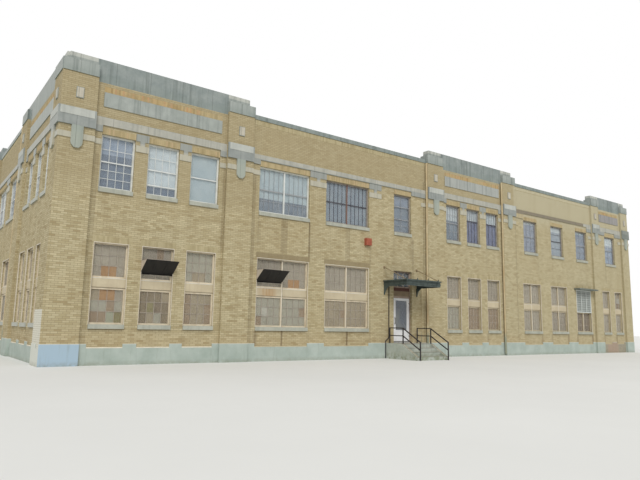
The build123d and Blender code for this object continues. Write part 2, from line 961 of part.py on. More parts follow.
def louvre(w):
    # Flat blades in a frame, in front of the window's upper light
    low = lower_light_top
    high = lower_head_level - shade_thickness
    left, right = w.left + frame_member, w.left + w.width - frame_member
    back = bay_face + louvre_depth
    grille = block(w.left, w.left + w.width, bay_face, back, low, high)
    grille -= block(left, right, bay_face, back, low + frame_member, high - frame_member)
    pitch = (high - low - 2 * frame_member) / louvre_count
    for i in range(louvre_count):
        z = low + frame_member + (i + 0.5) * pitch
        grille += block(left, right, bay_face + louvre_blade_inset, back - louvre_blade_inset,
                        z - louvre_thickness / 2, z + louvre_thickness / 2)
    return grille


def louvre_shade(w):
    z = lower_head_level - shade_thickness
    return block(w.left - shade_overhang, w.left + w.width + shade_overhang, bay_face - shade_reach, bay_face,
                 z, z + shade_thickness)


def alarm_box():
    left = entrance_centre - alarm_offset
    low = upper_floor_level + alarm_rise
    return block(left, left + alarm_size, bay_face - alarm_depth, bay_face, low, low + alarm_size)


def build():
    nodes = {
        "plinth": plinth(),
        "ground_floor": [slab(ground_floor_level, ground_floor_level)],
        "upper_floor": [slab(upper_floor_level, upper_slab_thickness)],
        "roof_deck": [slab(roof_level, roof_slab_thickness)],
        "front_wall_left": [wall(0, entrance_left, front_side)],
        "front_wall_over_door": [front_wall_over_door()],
        "front_wall_centre": [wall(entrance_right, plain_start, front_side)],
        "front_wall_right": [wall(plain_start, front_length, front_side)],
        "left_wall": [side_wall(left_side)],
        "right_wall": [side_wall(right_side)],
        "back_wall": [on_back(wall(0, front_length, back_side))],
        "pavilion_caps": pavilion_caps(),
        "parapet_copings": copings(),
        "belt_course": belt_course(),
        "pier_hoods": pier_hoods(),
        "head_trim": head_trim(),
        "parapet_panels": parapet_panels(),
        "window_sills": [side.turn(window_sill(w)) for side in all_sides for w in side.lower + side.upper],
        "window_spandrels": [side.turn(spandrel(w)) for side in all_sides for w in side.lower],
    }
    for side in all_sides:
        pairs = [window_frame(w) for w in side.lower + side.upper]
        nodes[side.name + "_window_frames"] = [side.turn(frame) for frame, _ in pairs]
        nodes[side.name + "_window_glass"] = [side.turn(pane) for _, panes in pairs for pane in panes]
    hinge_levels = (leaf_bottom + hinge_end_distance, leaf_top - hinge_end_distance - hinge_lug_height)
    far_cheek = stoop_right - cheek_width
    nodes.update({
        "door_frame": [door_frame()],
        "transom_glass": [transom_glass()],
        "front_door": [front_door()],
        "door_glass": [door_glass()],
        "door_handle": [door_handle()],
        "door_hinges": [fixed_hinge(z) for z in hinge_levels],
        "door_hinge_knuckles": [moving_hinge(z) for z in hinge_levels],
        "entrance_stoop": [landing()] + entrance_steps(),
        "stoop_cheeks": [cheek(stoop_left), cheek(far_cheek)],
        "entrance_railings": [railing(stoop_left + rail_inset), railing(stoop_right - rail_inset)],
        "canopy_roof": [canopy_roof()],
        "canopy_brackets": [canopy_bracket(canopy_left), canopy_bracket(canopy_right - bracket_thickness)],
        "canopy_finials": canopy_finials(),
        "canopy_tie_rods": tie_rods(),
        "canopy_drain": [canopy_drain()],
        "downpipes": downpipes(),
        "alarm_box": [alarm_box()],
        "louvre_grille": [louvre(plain_lower[-1])],
        "louvre_shade": [louvre_shade(plain_lower[-1])],
        "vent_hoppers": vent_hoppers(),
    })
    return nodes


def write(nodes):
    os.makedirs("parts", exist_ok=True)
    shift = Pos(-front_length / 2, -(front_most + back_most) / 2, 0)
    for name, shapes in nodes.items():
        solids = [shift * solid for shape in shapes for solid in shape.solids()]
        whole = solids[0] if len(solids) == 1 else Compound(children=solids)
        export_step(whole, "parts/" + name + ".step")


write(build())
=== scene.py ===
# Bakery factory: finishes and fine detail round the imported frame. Metres, same axes as the frame.
import math
import random
from collections import namedtuple
from functools import cached_property

import bmesh
import bpy
from mathutils import Matrix, Vector


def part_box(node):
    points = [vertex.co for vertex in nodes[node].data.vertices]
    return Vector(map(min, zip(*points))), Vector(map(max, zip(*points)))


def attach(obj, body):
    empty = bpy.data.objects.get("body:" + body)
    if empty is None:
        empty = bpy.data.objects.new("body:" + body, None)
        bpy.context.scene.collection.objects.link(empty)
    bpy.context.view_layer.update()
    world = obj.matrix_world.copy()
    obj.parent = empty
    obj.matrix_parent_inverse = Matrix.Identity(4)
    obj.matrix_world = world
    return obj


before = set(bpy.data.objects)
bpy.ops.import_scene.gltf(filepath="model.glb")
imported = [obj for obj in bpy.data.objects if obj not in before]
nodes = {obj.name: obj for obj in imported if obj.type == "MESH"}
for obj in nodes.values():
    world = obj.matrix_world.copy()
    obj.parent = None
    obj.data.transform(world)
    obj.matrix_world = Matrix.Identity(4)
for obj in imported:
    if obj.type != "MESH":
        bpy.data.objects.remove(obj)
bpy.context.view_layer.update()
print("frame:", len(nodes), "nodes")

# Each wall is worked on as seen from outside: x along it to the right, y into the building, z up
wallCorner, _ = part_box("front_wall_left")
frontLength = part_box("front_wall_right")[1].x - wallCorner.x
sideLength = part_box("back_wall")[1].y - wallCorner.y
planCorner = Vector((wallCorner.x, wallCorner.y, 0))
sides = {
    "front": {"start": (0, 0, 0), "along": (1, 0, 0)},
    "left_side": {"start": (0, sideLength, 0), "along": (0, -1, 0)},
    "right_side": {"start": (frontLength, 0, 0), "along": (0, 1, 0)},
    "back": {"start": (frontLength, sideLength, 0), "along": (-1, 0, 0)},
}
for wall in sides.values():
    wall["start"] = planCorner + Vector(wall["start"])
    wall["along"] = Vector(wall["along"])
    wall["into"] = Vector((0, 0, 1)).cross(wall["along"])


def toWorld(side, x, y, z):
    wall = sides[side]
    return wall["start"] + wall["along"] * x + wall["into"] * y + Vector((0, 0, z))


def toWall(side, point):
    wall = sides[side]
    offset = point - wall["start"]
    return Vector((offset.dot(wall["along"]), offset.dot(wall["into"]), point.z))


def frontBox(nodeName):
    return [toWall("front", point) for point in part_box(nodeName)]


def solidBoxes(nodeName):
    # Lowest and highest corner of each separate solid of a node
    mesh = bmesh.new()
    mesh.from_mesh(nodes[nodeName].data)
    bmesh.ops.remove_doubles(mesh, verts=mesh.verts, dist=0.0001)
    boxes, seen = [], set()
    for first in mesh.verts:
        if first in seen:
            continue
        seen.add(first)
        queue, group = [first], []
        while queue:
            vert = queue.pop()
            group.append(vert.co.copy())
            for edge in vert.link_edges:
                other = edge.other_vert(vert)
                if other not in seen:
                    seen.add(other)
                    queue.append(other)
        boxes.append([Vector([pick(point[i] for point in group) for i in range(3)]) for pick in (min, max)])
    mesh.free()
    return boxes


def wallBoxes(side, nodeName, deepest=0.5, proudest=0.2):
    # The same in the wall's own places, only the solids that lie in or on that wall, left to right
    boxes = []
    for low, high in solidBoxes(nodeName):
        a, b = toWall(side, low), toWall(side, high)
        low, high = Vector(map(min, a, b)), Vector(map(max, a, b))
        if low.y > -proudest and high.y < deepest:
            boxes.append((low, high))
    return sorted(boxes, key=lambda box: (round(box[0].x, 3), round(box[0].z, 3)))


def between(a, b, share):
    return a + (b - a) * share


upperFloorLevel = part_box("upper_floor")[1].z
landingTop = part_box("entrance_stoop")[1].z
stoopRisers = 4
Window = namedtuple("Window", "low high lights upper")
windows = {}
for side in sides:
    panes = wallBoxes(side, side + "_window_glass")
    windows[side] = []
    for low, high in wallBoxes(side, side + "_window_frames"):
        lights = [(a, b) for a, b in panes if low.x < a.x < high.x and low.z < a.z < high.z]
        windows[side].append(Window(low, high, lights, low.z > upperFloorLevel))


def windowRow(side, upper):
    return [window for window in windows[side] if window.upper == upper]


glassDepth = 0.135  # from the face of the brick between the piers to the glass
glassFace, glassBack = (point.y for point in wallBoxes("front", "front_window_glass")[0])
bayFace = glassFace - glassDepth
frameFace, frameBack = windows["front"][0].low.y, windows["front"][0].high.y
tabletWidest = 1.0  # what is wider among the parapet panels is a long panel
plainStretch = 24.4  # where the plain stretch of the front starts, past its middle pavilion
farEnd = 38.0  # past the right end of the front
frontDepth = 0.6  # whatever lies less deep than this belongs to the front
print("windows:", {side: len(rows) for side, rows in windows.items()})

# Meshes are gathered from boxes and outlines, then finished as one piece

boxQuads = [(0, 1, 3, 2), (4, 6, 7, 5), (0, 4, 5, 1), (2, 3, 7, 6), (0, 2, 6, 4), (1, 5, 7, 3)]
lap = 0.002  # how far a thin strip reaches into what it lies on


class Shape:
    def __init__(self, side="front"):
        self.mesh = bmesh.new()
        self.side = side

    def face(self, verts, finish):
        self.mesh.faces.new(verts).material_index = finish

    def box(self, left, right, front, back, low, high, finish=0):
        corners = [toWorld(self.side, x, y, z) for x in (left, right) for y in (front, back) for z in (low, high)]
        verts = [self.mesh.verts.new(point) for point in corners]
        for quad in boxQuads:
            self.face([verts[i] for i in quad], finish)

    def bar(self, x, width, front, back, low, high):
        # A box with its middle at x
        self.box(x - width / 2, x + width / 2, front, back, low, high)

    def loft(self, rings, finish=0):
        # Rings of points, all of one length, joined one to the next and capped at both ends
        made = [[self.mesh.verts.new(point) for point in ring] for ring in rings]
        for a, b in zip(made, made[1:]):
            for i in range(len(a)):
                j = (i + 1) % len(a)
                self.face([a[i], a[j], b[j], b[i]], finish)
        self.face(made[0][::-1], finish)
        self.face(made[-1], finish)

    def outline(self, points, left, right, finish=0):
        # A shape drawn as (y, z) points, pulled out along the wall
        self.loft([[toWorld(self.side, x, y, z) for y, z in points] for x in (left, right)], finish)

    def turned(self, steps, upright=False, count=20):
        # A round piece from (x, y, z, radius) steps, flat on the wall or standing upright
        rings = []
        for x, y, z, radius in steps:
            ring = []
            for i in range(count):
                turn = 2 * math.pi * i / count
                a, b = radius * math.cos(turn), radius * math.sin(turn)
                ring.append(toWorld(self.side, x + a, y + b, z) if upright else toWorld(self.side, x + a, y, z + b))
            rings.append(ring)
        self.loft(rings)

    def collar(self, x, y, low, high, radius, count=20):
        # An upright sleeve, softened at both ends
        edge = min(0.006, (high - low) / 4)
        steps = ((low, radius - edge), (low + edge, radius), (high - edge, radius), (high, radius - edge))
        self.turned([(x, y, z, r) for z, r in steps], upright=True, count=count)


def makePiece(name, shape, finishes, edge=0.0, body="building"):
    bmesh.ops.recalc_face_normals(shape.mesh, faces=shape.mesh.faces)
    mesh = bpy.data.meshes.new(name)
    shape.mesh.to_mesh(mesh)
    shape.mesh.free()
    piece = bpy.data.objects.new(name, mesh)
    bpy.context.scene.collection.objects.link(piece)
    for finish in finishes:
        mesh.materials.append(finish)
    if edge:
        bevel = piece.modifiers.new("softened edges", "BEVEL")
        bevel.width = edge
        bevel.segments = 2
        bevel.limit_method = "ANGLE"
    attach(piece, body)


def onSides(name, draw, finishes, edge=0.0, chosen=tuple(sides)):
    # The same kind of piece on each wall
    for side in chosen:
        shape = Shape(side)
        draw(shape)
        makePiece(side + "_" + name, shape, finishes, edge)


# Finishes

black, white = (0, 0, 0), (255, 255, 255)


def tone(red, green, blue):
    # A screen colour from 0 to 255 as the linear colour of a shader
    values = []
    for value in (red / 255, green / 255, blue / 255):
        values.append(value / 12.92 if value <= 0.04045 else ((value + 0.055) / 1.055) ** 2.4)
    return (*values, 1.0)


class Nodes:
    # Short calls for the nodes of one tree
    def __init__(self, tree):
        self.tree = tree

    def feed(self, socket, value):
        if isinstance(value, bpy.types.NodeSocket):
            self.tree.links.new(value, socket)
        else:
            socket.default_value = tone(*value) if socket.type == "RGBA" else value

    def add(self, kind, *values, **settings):
        # A node with its first inputs fed in their order
        node = self.tree.nodes.new("ShaderNode" + kind)
        for key, value in settings.items():
            setattr(node, key, value)
        for socket, value in zip(node.inputs, values):
            self.feed(socket, value)
        return node

    def split(self, vector):
        return self.add("SeparateXYZ", vector).outputs

    def join(self, x, y):
        return self.add("CombineXYZ", x, y).outputs[0]

    def sum(self, operation, a, b=0.0):
        return self.add("Math", a, b, operation=operation).outputs[0]

    def fold(self, operation, values):
        total = values[0]
        for value in values[1:]:
            total = self.sum(operation, total, value)
        return total

    def times(self, *values):
        return self.fold("MULTIPLY", values)

    def over(self, value, limit):
        return self.sum("GREATER_THAN", value, limit)

    def under(self, value, limit):
        return self.sum("LESS_THAN", value, limit)

    def rise(self, value, low, high, fromValue=0.0, toValue=1.0):
        # Goes from one value to another as the input goes from low to high
        return self.add("MapRange", value, low, high, fromValue, toValue).outputs[0]

    def band(self, value, low, high, softLow, softHigh):
        # 1 from low to high, fading out below and above
        return self.times(self.rise(value, low - softLow, low), self.rise(value, high, high + softHigh, 1.0, 0.0))


class Finish(Nodes):
    # A material whose colour is laid on coat by coat
    def __init__(self, name, roughness=0.85, metallic=0.0, specular=0.3, alpha=1.0):
        self.material = bpy.data.materials.new(name)
        self.material.use_nodes = True
        super().__init__(self.material.node_tree)
        self.inputs = self.tree.nodes["Principled BSDF"].inputs
        for key, value in {"Roughness": roughness, "Metallic": metallic, "Specular IOR Level": specular,
                           "Alpha": alpha}.items():
            self.inputs[key].default_value = value
        where = self.add("TexCoord").outputs
        self.place, self.normal = where["Object"], where["Normal"]
        self.x, self.y, self.z = self.split(self.place)

    @cached_property
    def across(self):
        return self.sum("SUBTRACT", self.x, planCorner.x)  # along the front, from the plan's corner

    @cached_property
    def deep(self):
        return self.sum("SUBTRACT", self.y, planCorner.y)  # along the right side, from the plan's corner

    def looks(self, axis):
        # 1 on faces that look along an axis, either way
        return self.over(self.sum("ABSOLUTE", self.split(self.normal)[axis]), 0.5)

    def alongWall(self):
        # The place along whichever wall a face belongs to: X on the front and back, Y on the sides
        lookX = self.looks(0)
        return self.sum("ADD", self.times(self.y, lookX), self.times(self.x, self.sum("SUBTRACT", 1.0, lookX)))

    def stretch(self, left, right, soft):
        # 1 on whatever stands in or before the front wall, from one place along it to another
        return self.times(self.band(self.across, left, right, soft, soft), self.under(self.deep, frontDepth))

    def noise(self, scale=1.0, stretch=(1, 1, 1), detail=4.0, roughness=0.6, place=None):
        placed = self.add("VectorMath", place or self.place, stretch, operation="MULTIPLY")
        node = self.add("TexNoise", placed.outputs[0])
        for key, value in (("Scale", scale), ("Detail", detail), ("Roughness", roughness)):
            node.inputs[key].default_value = value
        return node.outputs["Fac"]

    def spots(self, low, high, most=1.0, least=0.0, **noise):
        # Patches or streaks out of a noise, between the least and the most
        return self.rise(self.noise(**noise), low, high, least, most)

    def mix(self, factor, a, b):
        node = self.add("Mix", factor, data_type="RGBA")
        self.feed(node.inputs[6], a)
        self.feed(node.inputs[7], b)
        return node.outputs[2]

    def ramp(self, factor, stops):
        node = self.add("ValToRGB", factor)
        elements = node.color_ramp.elements
        while len(elements) > 1:
            elements.remove(elements[-1])
        elements[0].position, elements[0].color = stops[0][0], tone(*stops[0][1])
        for position, colour in stops[1:]:
            elements.new(position).color = tone(*colour)
        return node.outputs[0]

    def lay(self, shade, *amounts):
        # One more coat over the colour so far, as thick as its amounts multiplied
        self.colour = self.mix(self.times(*amounts), self.colour, shade)

    def done(self, height=None, strength=0.3, depth=0.002, roughness=None):
        # The colour, a bump of this height and, where given, a roughness that varies
        self.feed(self.inputs["Base Color"], self.colour)
        if height:
            bump = self.add("Bump")
            for key, value in (("Strength", strength), ("Distance", depth), ("Height", height)):
                self.feed(bump.inputs[key], value)
            self.feed(self.inputs["Normal"], bump.outputs[0])
        if roughness:
            self.feed(self.inputs["Roughness"], roughness)
        return self.material


spansInRamp = 7  # a ramp holds 32 stops and each span takes four


def spanMask(finish, place, length, spans, soft):
    # 1 inside each span of a wall, fading out over soft at both of its ends
    share = finish.sum("DIVIDE", place, length)
    masks = []
    for first in range(0, len(spans), spansInRamp):
        stops = [(0.0, black)]
        for left, right in spans[first:first + spansInRamp]:
            stops += [((left - soft) / length, black), (left / length, white), (right / length, white),
                      ((right + soft) / length, black)]
        masks.append(finish.ramp(share, stops))
    return finish.fold("ADD", masks)


def windowSpans(side, upper):
    # Where a storey's windows stand along the plan, measured from its corner
    spans = [(window.low.x, window.high.x) for window in windowRow(side, upper)]
    return sorted((frontLength - b, frontLength - a) for a, b in spans) if side == "back" else spans


brickSettings = {
    "length": 0.2131,
    "course": 0.0677,
    "joint": 0.0055,
    "palette": [(0.0, (160, 145, 110)), (0.12, (173, 160, 125)), (0.5, (182, 170, 137)), (0.85, (190, 179, 146)),
                (1.0, (196, 184, 149))],
    "mortar": (138, 126, 98),
    "darkCourse": (158, 143, 107),
    "lightCourse": (197, 187, 153),
    "courseShare": 0.35,
    "patch": (174, 156, 116),
    "parapet": (164, 150, 118),
    "paleParapet": (194, 187, 160),
    "sooty": (160, 147, 116),
    "faded": (186, 178, 148),
    "flow": (146, 130, 96),
    "stainAndShade": (96, 82, 60),
    "splash": (184, 152, 112),
    "whitewash": (216, 214, 200),
    "lowerDrips": (1.18, 0.57),  # from the foot of the sills down to this height
    "upperDrips": (5.72, 4.6),
    "dripHalf": 0.012,
    "dripStrength": 0.3,
    "frontDripStrength": 0.8,
    "bump": 0.2,
    "frontBump": 0.35,
    "bumpDepth": 0.004,
}

# Dark runs on the front, stains below the sills and painted shade along the pier edges and beside the downpipe: place
# along it, half width, from height, to height, strength
frontRunsAndEdgeShade = [
    (10.13, 0.018, 4.25, 5.72, 0.85), (8.87, 0.14, 4.40, 5.72, 0.35), (8.87, 0.022, 0.57, 1.17, 0.85),
    (12.22, 0.040, 0.57, 1.17, 0.85), (12.22, 0.12, 4.45, 5.72, 0.25), (16.30, 0.05, 3.60, 5.60, 0.30),
    (17.05, 0.03, 0.70, 8.60, 0.35), (24.45, 0.03, 0.70, 7.60, 0.25), (7.40, 0.06, 0.70, 7.40, 0.30),
    (1.30, 0.05, 0.70, 7.00, 0.25), (13.55, 0.03, 0.70, 4.90, 0.20), (6.05, 0.04, 4.30, 7.30, 0.25),
]


def brickBond(finish, along, **inputs):
    bond = finish.add("TexBrick", finish.join(along, finish.z))
    inputs.update({"Scale": 1.0, "Mortar Size": brickSettings["joint"], "Brick Width": brickSettings["length"],
                   "Row Height": brickSettings["course"]})
    for key, value in inputs.items():
        finish.feed(bond.inputs[key], value)
    return bond


def makeBrick(name, side):
    # Running bond at its real size, with dirt that runs down from the ends of the sills, a dark band under each sill
    # that is partly stain and partly painted shadow, and dark runs on the front that are partly painted shade
    s = brickSettings
    finish = Finish(name, roughness=0.9, specular=0.2)
    front = side == "front"
    place, length = (finish.deep, sideLength) if side == "right_side" else (finish.across, frontLength)
    along = finish.alongWall()
    bond = brickBond(finish, along, Color1=black, Color2=white)
    bond.inputs["Mortar Smooth"].default_value = 0.2
    mortar = bond.outputs["Fac"]
    finish.colour = finish.ramp(bond.outputs["Color"], s["palette"])
    course = finish.sum("FLOOR", finish.sum("DIVIDE", finish.z, s["course"]))
    rows = finish.noise(detail=2, place=finish.join(finish.times(along, 0.45), finish.times(course, 7.3)))
    finish.lay(s["lightCourse"], finish.rise(rows, 0.5, 0.72, 0.0, s["courseShare"]))
    finish.lay(s["darkCourse"], finish.rise(rows, 0.5, 0.28, 0.0, s["courseShare"]))
    finish.lay(s["patch"], finish.spots(0.45, 0.7, 0.3, scale=0.45, detail=5))
    finish.lay(s["parapet"], finish.rise(finish.z, 7.6, 8.2, 0.0, 0.55))
    if front:
        # Pale over the plain stretch, darker between the upper windows near the corner, faded far along
        finish.lay(s["paleParapet"], finish.stretch(plainStretch, farEnd, 0.1),
                   finish.rise(finish.z, 7.4, 8.0, 0.0, 0.75))
        finish.lay(s["sooty"], finish.stretch(-0.5, 7.0, 6.0), finish.band(finish.z, 6.1, 7.6, 0.5, 0.5), 0.4)
        finish.lay(s["faded"], finish.rise(place, 0.4 * length, length, 0.0, 0.5))
    finish.lay(s["mortar"], mortar, 0.85)
    finish.lay(s["flow"], finish.spots(0.5, 0.78, 0.3, stretch=(2.6, 2.6, 0.16), detail=6))
    runs = finish.noise(stretch=(30, 30, 1.2), detail=3)
    broken = finish.rise(runs, 0.3, 0.6, 0.45, 1.0)
    for upper, drips in ((False, "lowerDrips"), (True, "upperDrips")):
        spans = windowSpans(side, upper)
        ends = [(edge - s["dripHalf"], edge + s["dripHalf"]) for span in spans for edge in span]
        top, bottom = s[drips]
        drip = finish.times(spanMask(finish, place, length, ends, 0.03), finish.band(finish.z, bottom, top, 0.1, 0.01))
        # The band just under each sill is partly stain and partly painted shadow of the sill
        underSillWashAndShadow = finish.times(spanMask(finish, place, length, spans, 0.05),
                            finish.band(finish.z, top - 0.05, top, 0.12, 0.01), 0.45)
        strength = s["frontDripStrength"] if front and not upper else s["dripStrength"]
        finish.lay(s["stainAndShade"], finish.sum("MAXIMUM", drip, underSillWashAndShadow), broken, strength)
    if front:
        # The long runs at the pier edges and beside the downpipe are painted shade, the others are stains
        for middle, half, low, high, strength in frontRunsAndEdgeShade:
            finish.lay(s["stainAndShade"], finish.band(place, middle - half, middle + half, 0.03, 0.03),
                       finish.band(finish.z, low, high, 0.3, 0.02), finish.rise(runs, 0.3, 0.6, 0.5, 1.0), strength)
    finish.lay(s["splash"], finish.band(finish.z, 0.5, 0.75, 0.1, 0.5), 0.12)
    if side != "back":
        # The corner pier's side is painted white at its foot
        finish.lay(s["whitewash"], finish.looks(0), finish.band(finish.deep, -1, 1.15, 0.01, 0.02),
                   finish.band(finish.z, 0, 1.75, 0.1, 0.02), finish.under(finish.across, 0.2),
                   finish.rise(mortar, 0.0, 1.0, 0.95, 0.45))
    height = finish.sum("SUBTRACT", finish.times(finish.noise(60, detail=2), 0.15), mortar)
    return finish.done(height, s["frontBump"] if front else s["bump"], s["bumpDepth"])


lintelPlain = [(0.0, (164, 151, 117)), (0.5, (176, 164, 129)), (1.0, (184, 172, 138))]
lintelWarm = [(0.0, (162, 138, 96)), (0.4, (180, 156, 112)), (0.75, (188, 164, 120)), (0.92, (188, 146, 106)),
              (1.0, (166, 146, 110))]


def makeLintelBrick():
    # Each upright brick in a shade of its own, warmer over the upper windows and the long panels
    finish = Finish("lintel brick", roughness=0.9, specular=0.2)
    island = finish.add("NewGeometry").outputs["Random Per Island"]
    overWindow = finish.times(finish.band(finish.z, 7.6, 8.0, 0.05, 0.05), 0.35)
    overPanel = finish.times(finish.band(finish.z, 9.1, 9.40, 0.05, 0.02),
                             finish.spots(0.42, 0.58, 0.9, 0.25, scale=0.9, detail=3))
    finish.colour = finish.ramp(island, lintelPlain)
    finish.lay(finish.ramp(island, lintelWarm), finish.sum("MAXIMUM", overWindow, overPanel))
    finish.lay((138, 124, 96), finish.stretch(7.5, 13.6, 0.05), finish.rise(finish.z, 4.4, 4.5, 0.75, 0.0))
    finish.lay(brickSettings["paleParapet"], finish.stretch(plainStretch, 33.0, 0.1),
               finish.rise(finish.z, 9.42, 9.46, 0.0, 0.75))
    finish.lay((130, 112, 80), finish.spots(0.5, 0.75, 0.35, scale=6))
    return finish.done(finish.noise(60), 0.3, 0.003)


jointWidth = 0.012
noJoints = 40.0  # blocks longer than any piece


def makeStone(name, pale, dark, streaks, tint, jointEvery=1.22, shade=None):
    # Cast stone: mottled, with joints at even spaces, dark runs, a green tint on its top and painted light on the faces
    # of the left side
    finish = Finish(name, roughness=0.92, specular=0.2)
    finish.colour = finish.mix(finish.spots(0.3, 0.72, scale=2.2, detail=8, roughness=0.7), dark, pale)
    if shade:
        shade(finish)
    finish.lay((84, 92, 88), finish.spots(0.48, 0.75, streaks, stretch=(7, 7, 0.35), detail=6))
    blocks = finish.sum("FRACT", finish.sum("DIVIDE", finish.alongWall(), jointEvery))
    joint = finish.under(blocks, jointWidth / jointEvery)
    finish.lay((84, 86, 80), joint, 0.6)
    finish.lay((196, 198, 192), finish.looks(0), finish.under(finish.across, 0.4), 0.45)  # painted light: paler on the faces of the left side, as if lit more brightly there
    finish.lay((112, 122, 104), finish.looks(2), tint)
    return finish.done(finish.sum("SUBTRACT", finish.times(finish.noise(45, detail=5), 0.5), joint), 0.5, 0.006)


frontPiers = (0.0, 6.1, 17.25, 23.35, 32.85, 36.75)  # where each starts along the front
pierWidth = 1.1


def capShade(finish):
    # Paler over the piers, and a painted sunlit highlight along the top step
    for pier in frontPiers:
        onPier = finish.stretch(pier, pier + pierWidth, 0.02)
        finish.lay((182, 186, 178), onPier, 0.4)
        # Painted sunlit highlight along the top step over each pier
        finish.lay((206, 206, 196), onPier, finish.band(finish.z, 10.22, 10.36, 0.02, 0.02), 0.6)
    finish.lay((122, 134, 126), finish.band(finish.z, 9.5, 9.72, 0.05, 0.2), 0.3)


def trimShade(finish):
    # The belt is paler than the wings under it, the shields greener, and the plain stretch nearly brown
    finish.lay((154, 157, 151), finish.band(finish.z, 7.65, 8.0, 0.03, 0.03))
    finish.lay((190, 184, 162), finish.rise(finish.z, 7.58, 7.55, 0.0, 0.6))
    finish.lay((158, 166, 156), finish.under(finish.deep, -0.045), finish.rise(finish.z, 7.82, 7.78), 0.85)
    plain = finish.stretch(24.55, 31.9, 0.02)
    finish.lay((132, 122, 104), plain, finish.over(finish.z, 8.0), 0.9)
    finish.lay((184, 170, 134), plain, finish.under(finish.z, 8.05), 0.9)


def panelShade(finish):
    # The centre panel is paler, the end panel mauve
    finish.lay((174, 175, 170), finish.stretch(17.0, 25.0, 0.1), 0.5)
    finish.lay((150, 143, 142), finish.stretch(32.0, farEnd, 0.1), 0.7)


def hoodShade(finish):
    # The hood at the far end is the darkest
    finish.lay((120, 126, 120), finish.stretch(36.6, farEnd, 0.1), 0.75)


def makePlinthPaint():
    # Masonry paint, one bay blue, the last bay bare brick, with a painted highlight along its top edge
    finish = Finish("plinth paint", roughness=0.75)
    finish.colour = finish.mix(finish.spots(0.3, 0.7, scale=1.6, detail=8), (158, 170, 161), (180, 190, 182))
    lookX = finish.looks(0)
    finish.lay((164, 185, 199), finish.sum("SUBTRACT", 1.0, lookX), finish.under(finish.deep, 0.1),
               finish.under(finish.across, 1.17))
    finish.lay((210, 212, 202), lookX, finish.under(finish.deep, 1.16), finish.under(finish.across, 0.1))
    bond = brickBond(finish, finish.x, Color1=(144, 136, 118), Color2=(160, 150, 130), Mortar=(130, 122, 104))
    reddish = finish.times(finish.band(finish.across, 34.4, 35.6, 0.2, 0.2), 0.5)
    finish.lay(finish.mix(reddish, bond.outputs["Color"], (174, 140, 120)), finish.under(finish.deep, 0.5),
               finish.band(finish.across, 33.9, 36.7, 0.01, 0.01), 0.9)
    # Painted highlight along the top edge, where the sun would catch it
    finish.lay((214, 214, 204), finish.rise(finish.z, 0.668, 0.676), 0.7)
    finish.lay((124, 122, 96), finish.rise(finish.z, 0.0, 0.16, 0.5, 0.0), finish.spots(0.3, 0.6, scale=7))
    finish.lay((122, 128, 112), finish.spots(0.58, 0.8, 0.35, stretch=(9, 9, 0.8), detail=5))
    return finish.done(finish.noise(30, detail=5), 0.3, 0.004)


def makeFramePaint():
    # Cream below, white above, and duller on the windows to the right of the front, on the upper ones partly painted
    # shade of the reveals
    finish = Finish("frame paint", roughness=0.55)
    wear = finish.spots(0.45, 0.7, scale=5, detail=6)
    cream = finish.mix(wear, (216, 204, 180), (196, 181, 154))
    tan = finish.mix(wear, (184, 172, 146), (166, 152, 126))
    pale = finish.mix(wear, (216, 218, 212), (196, 196, 188))
    dullAndShaded = finish.mix(wear, (150, 144, 136), (126, 118, 110))
    below = finish.mix(finish.stretch(17.4, farEnd, 0.01), cream, tan)
    # Upper frames past the wide windows: darker grey paint, partly painted shade of the reveals
    above = finish.mix(finish.stretch(10.9, farEnd, 0.01), pale, dullAndShaded)
    finish.colour = finish.mix(finish.over(finish.z, upperFloorLevel), below, above)
    return finish.done(finish.noise(50), 0.2, 0.001)


def makeSpandrelPaint():
    # Beige boards, streaked, with rust where a hopper drips on one of them
    finish = Finish("spandrel paint", roughness=0.65)
    finish.colour = finish.mix(finish.spots(0.35, 0.65, scale=2, detail=6), (186, 173, 146), (200, 188, 160))
    runs = finish.noise(stretch=(14, 14, 1.0), detail=5)
    finish.lay((162, 142, 110), finish.rise(runs, 0.52, 0.78, 0.0, 0.3))
    finish.lay((170, 130, 82), finish.stretch(8.05, 8.4, 0.3), finish.rise(runs, 0.35, 0.6, 0.2, 0.65))
    return finish.done(finish.noise(50), 0.2, 0.001)


def makePipePaint():
    # Buff paint worn to rust, green-grey at the foot
    finish = Finish("pipe paint", roughness=0.75)
    finish.colour = finish.mix(finish.spots(0.4, 0.62, scale=3, detail=6), (192, 177, 142), (180, 162, 126))
    finish.lay((170, 128, 88), finish.spots(0.52, 0.68, stretch=(8, 8, 1.4), detail=6),
               finish.rise(finish.across, 20, 21, 0.4, 0.6))
    finish.lay((138, 146, 130), finish.rise(finish.z, 1.3, 0.9), 0.85)
    return finish.done(finish.noise(60), 0.2, 0.002)


def makeHopperPaint():
    # Black on the front plate, bare pale metal on the cheeks
    finish = Finish("hopper paint", roughness=0.55, specular=0.4)
    patches = finish.spots(0.35, 0.7, scale=5)
    finish.colour = finish.mix(patches, (18, 17, 17), (32, 30, 29))
    finish.lay((70, 66, 62), finish.spots(0.55, 0.8, 0.12, stretch=(60, 60, 2)))
    finish.lay(finish.mix(patches, (200, 190, 176), (184, 172, 156)), finish.looks(0))
    return finish.done(finish.noise(70), 0.3, 0.002)


def makeWindowGlass():
    # Clear old glass with a film of dust
    finish = Finish("window glass", roughness=0.08, specular=0.8, alpha=0.16)
    dust = finish.noise(3.0, stretch=(1, 1, 0.6), detail=6)
    film = finish.rise(dust, 0.35, 0.75)
    below = finish.mix(film, (160, 150, 130), (186, 178, 158))
    above = finish.mix(film, (150, 166, 182), (190, 198, 202))
    finish.colour = finish.mix(finish.over(finish.z, upperFloorLevel), below, above)
    return finish.done(roughness=finish.rise(dust, 0.3, 0.7, 0.05, 0.2))


